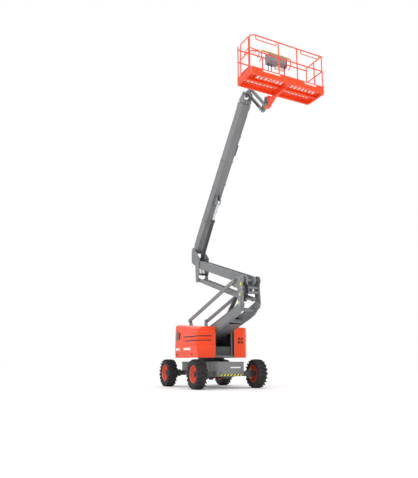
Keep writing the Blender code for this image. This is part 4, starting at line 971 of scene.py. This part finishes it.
def buildFloor():
    low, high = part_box("platform_floor")
    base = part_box("rails_end")[0].z - 0.0003    # top face of the floor sheet
    toeTop = high.z
    middle = (low.x + high.x) / 2
    cut, beam, spine, bars = deck["cut"], deck["beam"], deck["spine"], deck["bars"]

    def outline(inset, z):
        x0, x1, y0, y1 = low.x + inset, high.x - inset, low.y + inset, high.y - inset
        return [Vector((x, y, z)) for x, y in (
            (x0, y0 + cut), (x0 + cut, y0), (x1 - cut, y0), (x1, y0 + cut),
            (x1, y1 - cut), (x1 - cut, y1), (x0 + cut, y1), (x0, y1 - cut))]

    def ring(shape, outer, inner, z0, z1):
        rings = []
        for inset in (outer, inner):
            for z in (z0, z1):
                rings.append([shape.verts.new(p) for p in outline(inset, z)])
        for a, b in ((0, 1), (1, 3), (3, 2), (2, 0)):
            for i in range(len(rings[a])):
                shape.faces.new((rings[a][i - 1], rings[a][i], rings[b][i], rings[b][i - 1]))

    shape = bmesh.new()
    ring(shape, 0.0, deck["channel"], low.z, base)    # perimeter channel
    ring(shape, 0.0, deck["toeBoard"], base, toeTop)
    ring(shape, 0.0005, 0.016, toeTop - 0.012, toeTop)    # folded lip of the toe boards
    # joists, middle beam, slot borders and cross bars form the open grating
    x0, x1, y0, y1 = low.x + 0.047, high.x - 0.047, low.y + 0.047, high.y - 0.047
    top, bottom = base, base - 0.022
    addBox(shape, (x0, -beam, low.z + 0.004), (x1, beam, base))
    for y in ((y0, -beam), (beam, y1)):
        addBox(shape, (middle - spine, y[0], low.z + 0.02), (middle + spine, y[1], base))
    for sign in (-1, 1):
        end = y1 if sign > 0 else -y0
        pitch = (end - beam) / bars
        for xa, xb in ((x0, middle - spine), (middle + spine, x1)):
            for a, b in ((xa, xa + 0.030), (xb - 0.030, xb)):
                addBox(shape, (a, sign * beam, bottom), (b, sign * end, top))
            for i in range(bars + 1):
                y = sign * (beam + pitch * i)
                wide = 0.021 if 0 < i < bars else 0.030
                addBox(shape, (xa + 0.029, y - wide, bottom), (xb - 0.029, y + wide, top))
            for i in range(bars):   # thin tread bars inside each slot
                y = sign * (beam + pitch * (i + 0.5))
                addBox(shape, (xa + 0.029, y - 0.003, top - 0.014), (xb - 0.029, y + 0.003, top))
    finishPiece("gratingFloor", shape, "orangeEnamel", "platform", ["platform_floor"])
    shape = bmesh.new()   # plain pale strips on the outboard toe board
    for a, b in ((-0.86, -0.30), (0.52, 0.92)):
        addBox(shape, (high.x - 0.0005, a, toeTop - 0.075), (high.x + 0.0008, b, toeTop - 0.030))
    addBox(shape, (low.x - 0.0008, -0.45, toeTop - 0.075), (low.x + 0.0005, 0.20, toeTop - 0.030))
    finishPiece("toeBoardStrips", shape, "whiteVinyl", "platform")
    shape = bmesh.new()   # foot switch guard at the outboard corner
    addBox(shape, (high.x - 0.34, low.y + 0.10, base + 0.004),
           (high.x - 0.06, low.y + 0.34, base + 0.03), 0.006)
    for y in (low.y + 0.12, low.y + 0.32):
        addTube(shape, [(high.x - 0.33, y, base + 0.02), (high.x - 0.33, y, base + 0.115),
                        (high.x - 0.08, y, base + 0.115), (high.x - 0.08, y, base + 0.02)],
                0.010, 0.05)
    finishPiece("footSwitchGuard", shape, "orangeEnamel", "platform")
    shape = bmesh.new()
    addBox(shape, (high.x - 0.27, low.y + 0.16, base + 0.03),
           (high.x - 0.13, low.y + 0.28, base + 0.075), 0.012)
    finishPiece("footSwitch", shape, "yellowFoam", "platform")


def buildRails():
    x0 = sum(v.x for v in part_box("rails_boom_side")) / 2
    outLow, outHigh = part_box("rails_outboard")
    radius, lap = deck["railRadius"], deck["railLap"]
    x1 = outHigh.x - radius
    y1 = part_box("rails_end")[1].y - radius
    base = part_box("rails_end")[0].z
    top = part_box("rails_end")[1].z - radius
    mid, sideTop, cut = base + 0.61, top - 0.08, 0.09
    shape = bmesh.new()
    for z in (sideTop, mid):
        addTube(shape, [(x0, -y1 - lap, z), (x0, y1 + lap, z)], radius, 0.05, 16)
    for y in (-y1, y1):
        addTube(shape, [(x0, y, base), (x0, y, top + 0.012)], radius, 0.05, 16)
    for y in (-0.38, 0.38):
        addTube(shape, [(x0, y, base), (x0, y, sideTop + 0.012)], radius, 0.05, 16)
    finishPiece("boomSideRails", shape, "orangeEnamel", "platform", ["rails_boom_side"])
    shape = bmesh.new()
    for z in (top, mid):
        addTube(shape, [(x1, outLow.y, z), (x1, y1 + lap, z)], radius, 0.07, 16)
    for y in (-0.31, 0.31, y1):
        addTube(shape, [(x1, y, base), (x1, y, top)], radius, 0.05, 16)
    for low, high in ((-1.04, -0.38), (0.45, 1.10)):   # hand-hold loops under the top rail
        addTube(shape, [(x1, low, top), (x1, low, top - 0.12), (x1, high, top - 0.12),
                        (x1, high, top)], 0.0125, 0.06, 12)
    finishPiece("outboardRails", shape, "orangeEnamel", "platform", ["rails_outboard"])
    shape = bmesh.new()
    for z in (top, mid):
        addTube(shape, [(x1 - cut, -y1, z), (x1, -y1 + cut, z), (x1, outLow.y - 0.0004, z)],
                radius, 0.07, 16)
    addTube(shape, [(x1 - cut, -y1, base), (x1 - cut, -y1, top)], radius, 0.05, 16)
    gatePost = x1 - 0.136
    for z in (base + 0.30, top - 0.10):   # gate hinge straps
        addBox(shape, (gatePost + 0.019, -y1 - 0.009, z), (x1 - cut, -y1 + 0.009, z + 0.05), 0.003)
    finishPiece("cornerRails", shape, "orangeEnamel", "platform", ["rails_corner"])
    shape = bmesh.new()
    for z in (top, mid):
        addTube(shape, [(x0 + radius + 0.0004, y1, z), (x1 - radius - 0.0004, y1, z)], radius,
                0.05, 16)
    addTube(shape, [((x0 + x1) / 2, y1, base), ((x0 + x1) / 2, y1, top)], radius, 0.05, 16)
    finishPiece("endRails", shape, "orangeEnamel", "platform", ["rails_end"])
    shape = bmesh.new()   # post feet
    for x, y in ((x0, -y1), (x0, y1), (x0, -0.38), (x0, 0.38), (x1 - cut, -y1), (x1, -0.31),
                 (x1, 0.31), (x1, y1), ((x0 + x1) / 2, y1)):
        addBar(shape, (x, y, base + 0.0005), (x, y, base + 0.03), 0.0215, 20)
    finishPiece("postSockets", shape, "orangeEnamel", "platform")
    # gate
    gateLow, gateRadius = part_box("entry_gate")[0], deck["gateRadius"]
    hinge = joints["gate_open"]
    latch = gateLow.x + gateRadius
    shape = bmesh.new()
    addTube(shape, [(hinge.x, -y1, gateLow.z), (hinge.x, -y1, top), (latch, -y1, top),
                    (latch, -y1, gateLow.z)], gateRadius, 0.045, 14)
    for z in (mid, gateLow.z + 0.03):
        addTube(shape, [(latch, -y1, z), (hinge.x, -y1, z)], gateRadius, 0.05, 14)
    finishPiece("gateFrame", shape, "orangeEnamel", "gate", ["entry_gate"])
    shape = bmesh.new()
    addBox(shape, (latch - 0.045, -y1 - 0.010, mid - 0.10),
           (latch - 0.006, -y1 + 0.010, mid - 0.03), 0.004)
    addBar(shape, (latch - 0.02, -y1, mid - 0.03), (latch - 0.02, -y1, mid + 0.03), 0.008, 12)
    finishPiece("gateLatch", shape, "zincSteel", "gate")


def buildConsole():
    low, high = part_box("control_console")
    shape = bmesh.new()
    # moulded housing: sloping face towards the operator, rounded edges
    outline = [(low.x, low.z), (low.x + 0.14, low.z), (high.x - 0.03, low.z + 0.06),
               (high.x, low.z + 0.20), (high.x - 0.01, low.z + 0.25), (low.x + 0.03, high.z),
               (low.x, high.z)]
    addPlate(shape, [Vector((x, low.y, z)) for x, z in outline], (0, high.y - low.y, 0))
    bmesh.ops.bevel(shape, geom=list(shape.edges), offset=0.012, affect="EDGES", segments=3,
                    profile=0.5, material=-1)
    finishPiece("consoleHousing", shape, "mouldedPlastic", "platform", ["control_console"])
    origin = Vector((low.x + 0.03, 0, high.z))    # top edge of the sloping face
    way = (Vector((high.x - 0.01, 0, low.z + 0.25)) - origin).normalized()
    up = Vector((-way.z, 0, way.x))
    shape = bmesh.new()   # joysticks with bellows
    for y in (-0.20, 0.20):
        foot = origin + way * 0.11 + Vector((0, y, 0))
        for k in range(4):
            addBar(shape, foot + up * (0.010 * k), foot + up * (0.010 * k + 0.008),
                   0.034 - 0.006 * k, 20, 0.030 - 0.006 * k)
        addBar(shape, foot + up * 0.035, foot + up * 0.085, 0.007, 12)
    for i in range(7):   # toggle switches
        foot = origin + way * 0.15 + Vector((0, -0.135 + 0.045 * i, 0))
        addBar(shape, foot, foot + up * 0.010, 0.010, 12)
        addBar(shape, foot + up * 0.008, foot + up * 0.030, 0.004, 10)
    for y in (-0.24, -0.14, 0.14):   # cable plugs under the box
        addBar(shape, (low.x + 0.07, y, low.z + 0.004), (low.x + 0.07, y, low.z - 0.055), 0.020, 16)
    finishPiece("consoleControls", shape, "blackPlasticAndPaintedShade", "platform")
    shape = bmesh.new()
    stop = origin + way * 0.07
    addBar(shape, stop, stop + up * 0.016, 0.012, 20)
    addBar(shape, stop + up * 0.014, stop + up * 0.030, 0.020, 24)
    sidePlate = [(low.x, low.z - 0.06), (low.x + 0.20, low.z - 0.03), (low.x + 0.24, low.z + 0.22),
                 (low.x, high.z - 0.01)]
    addPlate(shape, [Vector((x, 0.302, z)) for x, z in sidePlate], (0, 0.012, 0))
    finishPiece("consoleRedParts", shape, "redPlastic", "platform")
    shape = bmesh.new()   # lower harness cover
    addBox(shape, (low.x + 0.012, 0, low.z - 0.075), (low.x + 0.10, 0.28, low.z + 0.004), 0.01)
    finishPiece("harnessCover", shape, "whiteVinyl", "platform")
    shape = bmesh.new()   # harness from the box down to the platform support
    for k, y in enumerate((-0.24, -0.14)):
        addTube(shape, [(low.x + 0.07, y, low.z - 0.05), (low.x + 0.07, y, low.z - 0.16),
                        (low.x + 0.05, y + 0.03, low.z - 0.45),
                        (low.x + 0.05, -0.05 + 0.03 * k, low.z - 0.72)], 0.011, 0.12, 10)
    finishPiece("consoleHarness", shape, "hoseRubber", "platform")
    # padded sensing bar over the console, on two side posts, with a hoop at its left
    barX, barZ = low.x + 0.13, high.z + 0.02
    shape = bmesh.new()
    addBar(shape, (barX, -0.46, barZ), (barX, 0.46, barZ), 0.024, 24)
    finishPiece("sensingBarPad", shape, "yellowFoam", "platform")
    shape = bmesh.new()
    railX = low.x - 0.017
    for y in (-0.50, 0.50):
        addTube(shape, [(railX + 0.017, y, high.z - 0.27), (barX + 0.01, y, high.z - 0.20),
                        (barX, y, barZ), (barX, y * 0.9, barZ)], 0.014, 0.05)
    addTube(shape, [(railX + 0.017, -0.56, high.z - 0.17), (railX + 0.14, -0.56, high.z - 0.07),
                    (railX + 0.14, -0.60, high.z), (railX + 0.14, -0.90, high.z),
                    (railX + 0.10, -0.98, high.z - 0.10), (railX + 0.017, -1.0, high.z - 0.20)],
            0.014, 0.08)
    addTube(shape, [(railX + 0.14, -0.62, high.z), (railX + 0.05, -0.76, high.z - 0.12)],
            0.010, 0.05)
    finishPiece("sensingBarFrame", shape, "orangeEnamel", "platform")


buildFloor()
buildRails()
buildConsole()
print("platform done")


# --- studio ---
stage = {"floorSize": 600, "floor": "#FFFFFF", "sky": "#FFFFFF", "aim": (0, 0, 3)}
shape = bmesh.new()
bmesh.ops.create_grid(shape, x_segments=2, y_segments=2, size=stage["floorSize"] / 2)
mesh = bpy.data.meshes.new("studioFloor")
shape.to_mesh(mesh)
shape.free()
floor = bpy.data.objects.new("studioFloor", mesh)
bpy.context.scene.collection.objects.link(floor)
paper = bpy.data.materials.new("palePaper")
paper.use_nodes = True
look = paper.node_tree.nodes["Principled BSDF"].inputs
# matt white sheet with no mirror part: only the soft shadows show on it
look["Base Color"].default_value = linear(stage["floor"])
look["Roughness"].default_value = 0.9
look["Specular IOR Level"].default_value = 0.0
mesh.materials.append(paper)

world = bpy.data.worlds.new("studio")
world.use_nodes = True
bpy.context.scene.world = world
background = world.node_tree.nodes["Background"]
background.inputs["Color"].default_value = linear(stage["sky"])
background.inputs["Strength"].default_value = 1.0

for name, place, size, power in (("key", (9, -12, 14), 6, 620), ("fill", (12, 9, 8), 8, 150),
                                 ("back", (-12, 2, 12), 8, 260)):
    light = bpy.data.lights.new(name, "AREA")
    light.size = size
    light.energy = power
    lamp = bpy.data.objects.new(name, light)
    bpy.context.scene.collection.objects.link(lamp)
    lamp.location = place
    towardsAim = Vector(stage["aim"]) - Vector(place)
    lamp.rotation_euler = towardsAim.to_track_quat("-Z", "Y").to_euler()
bpy.context.scene.view_settings.view_transform = "Standard"
print("studio done")
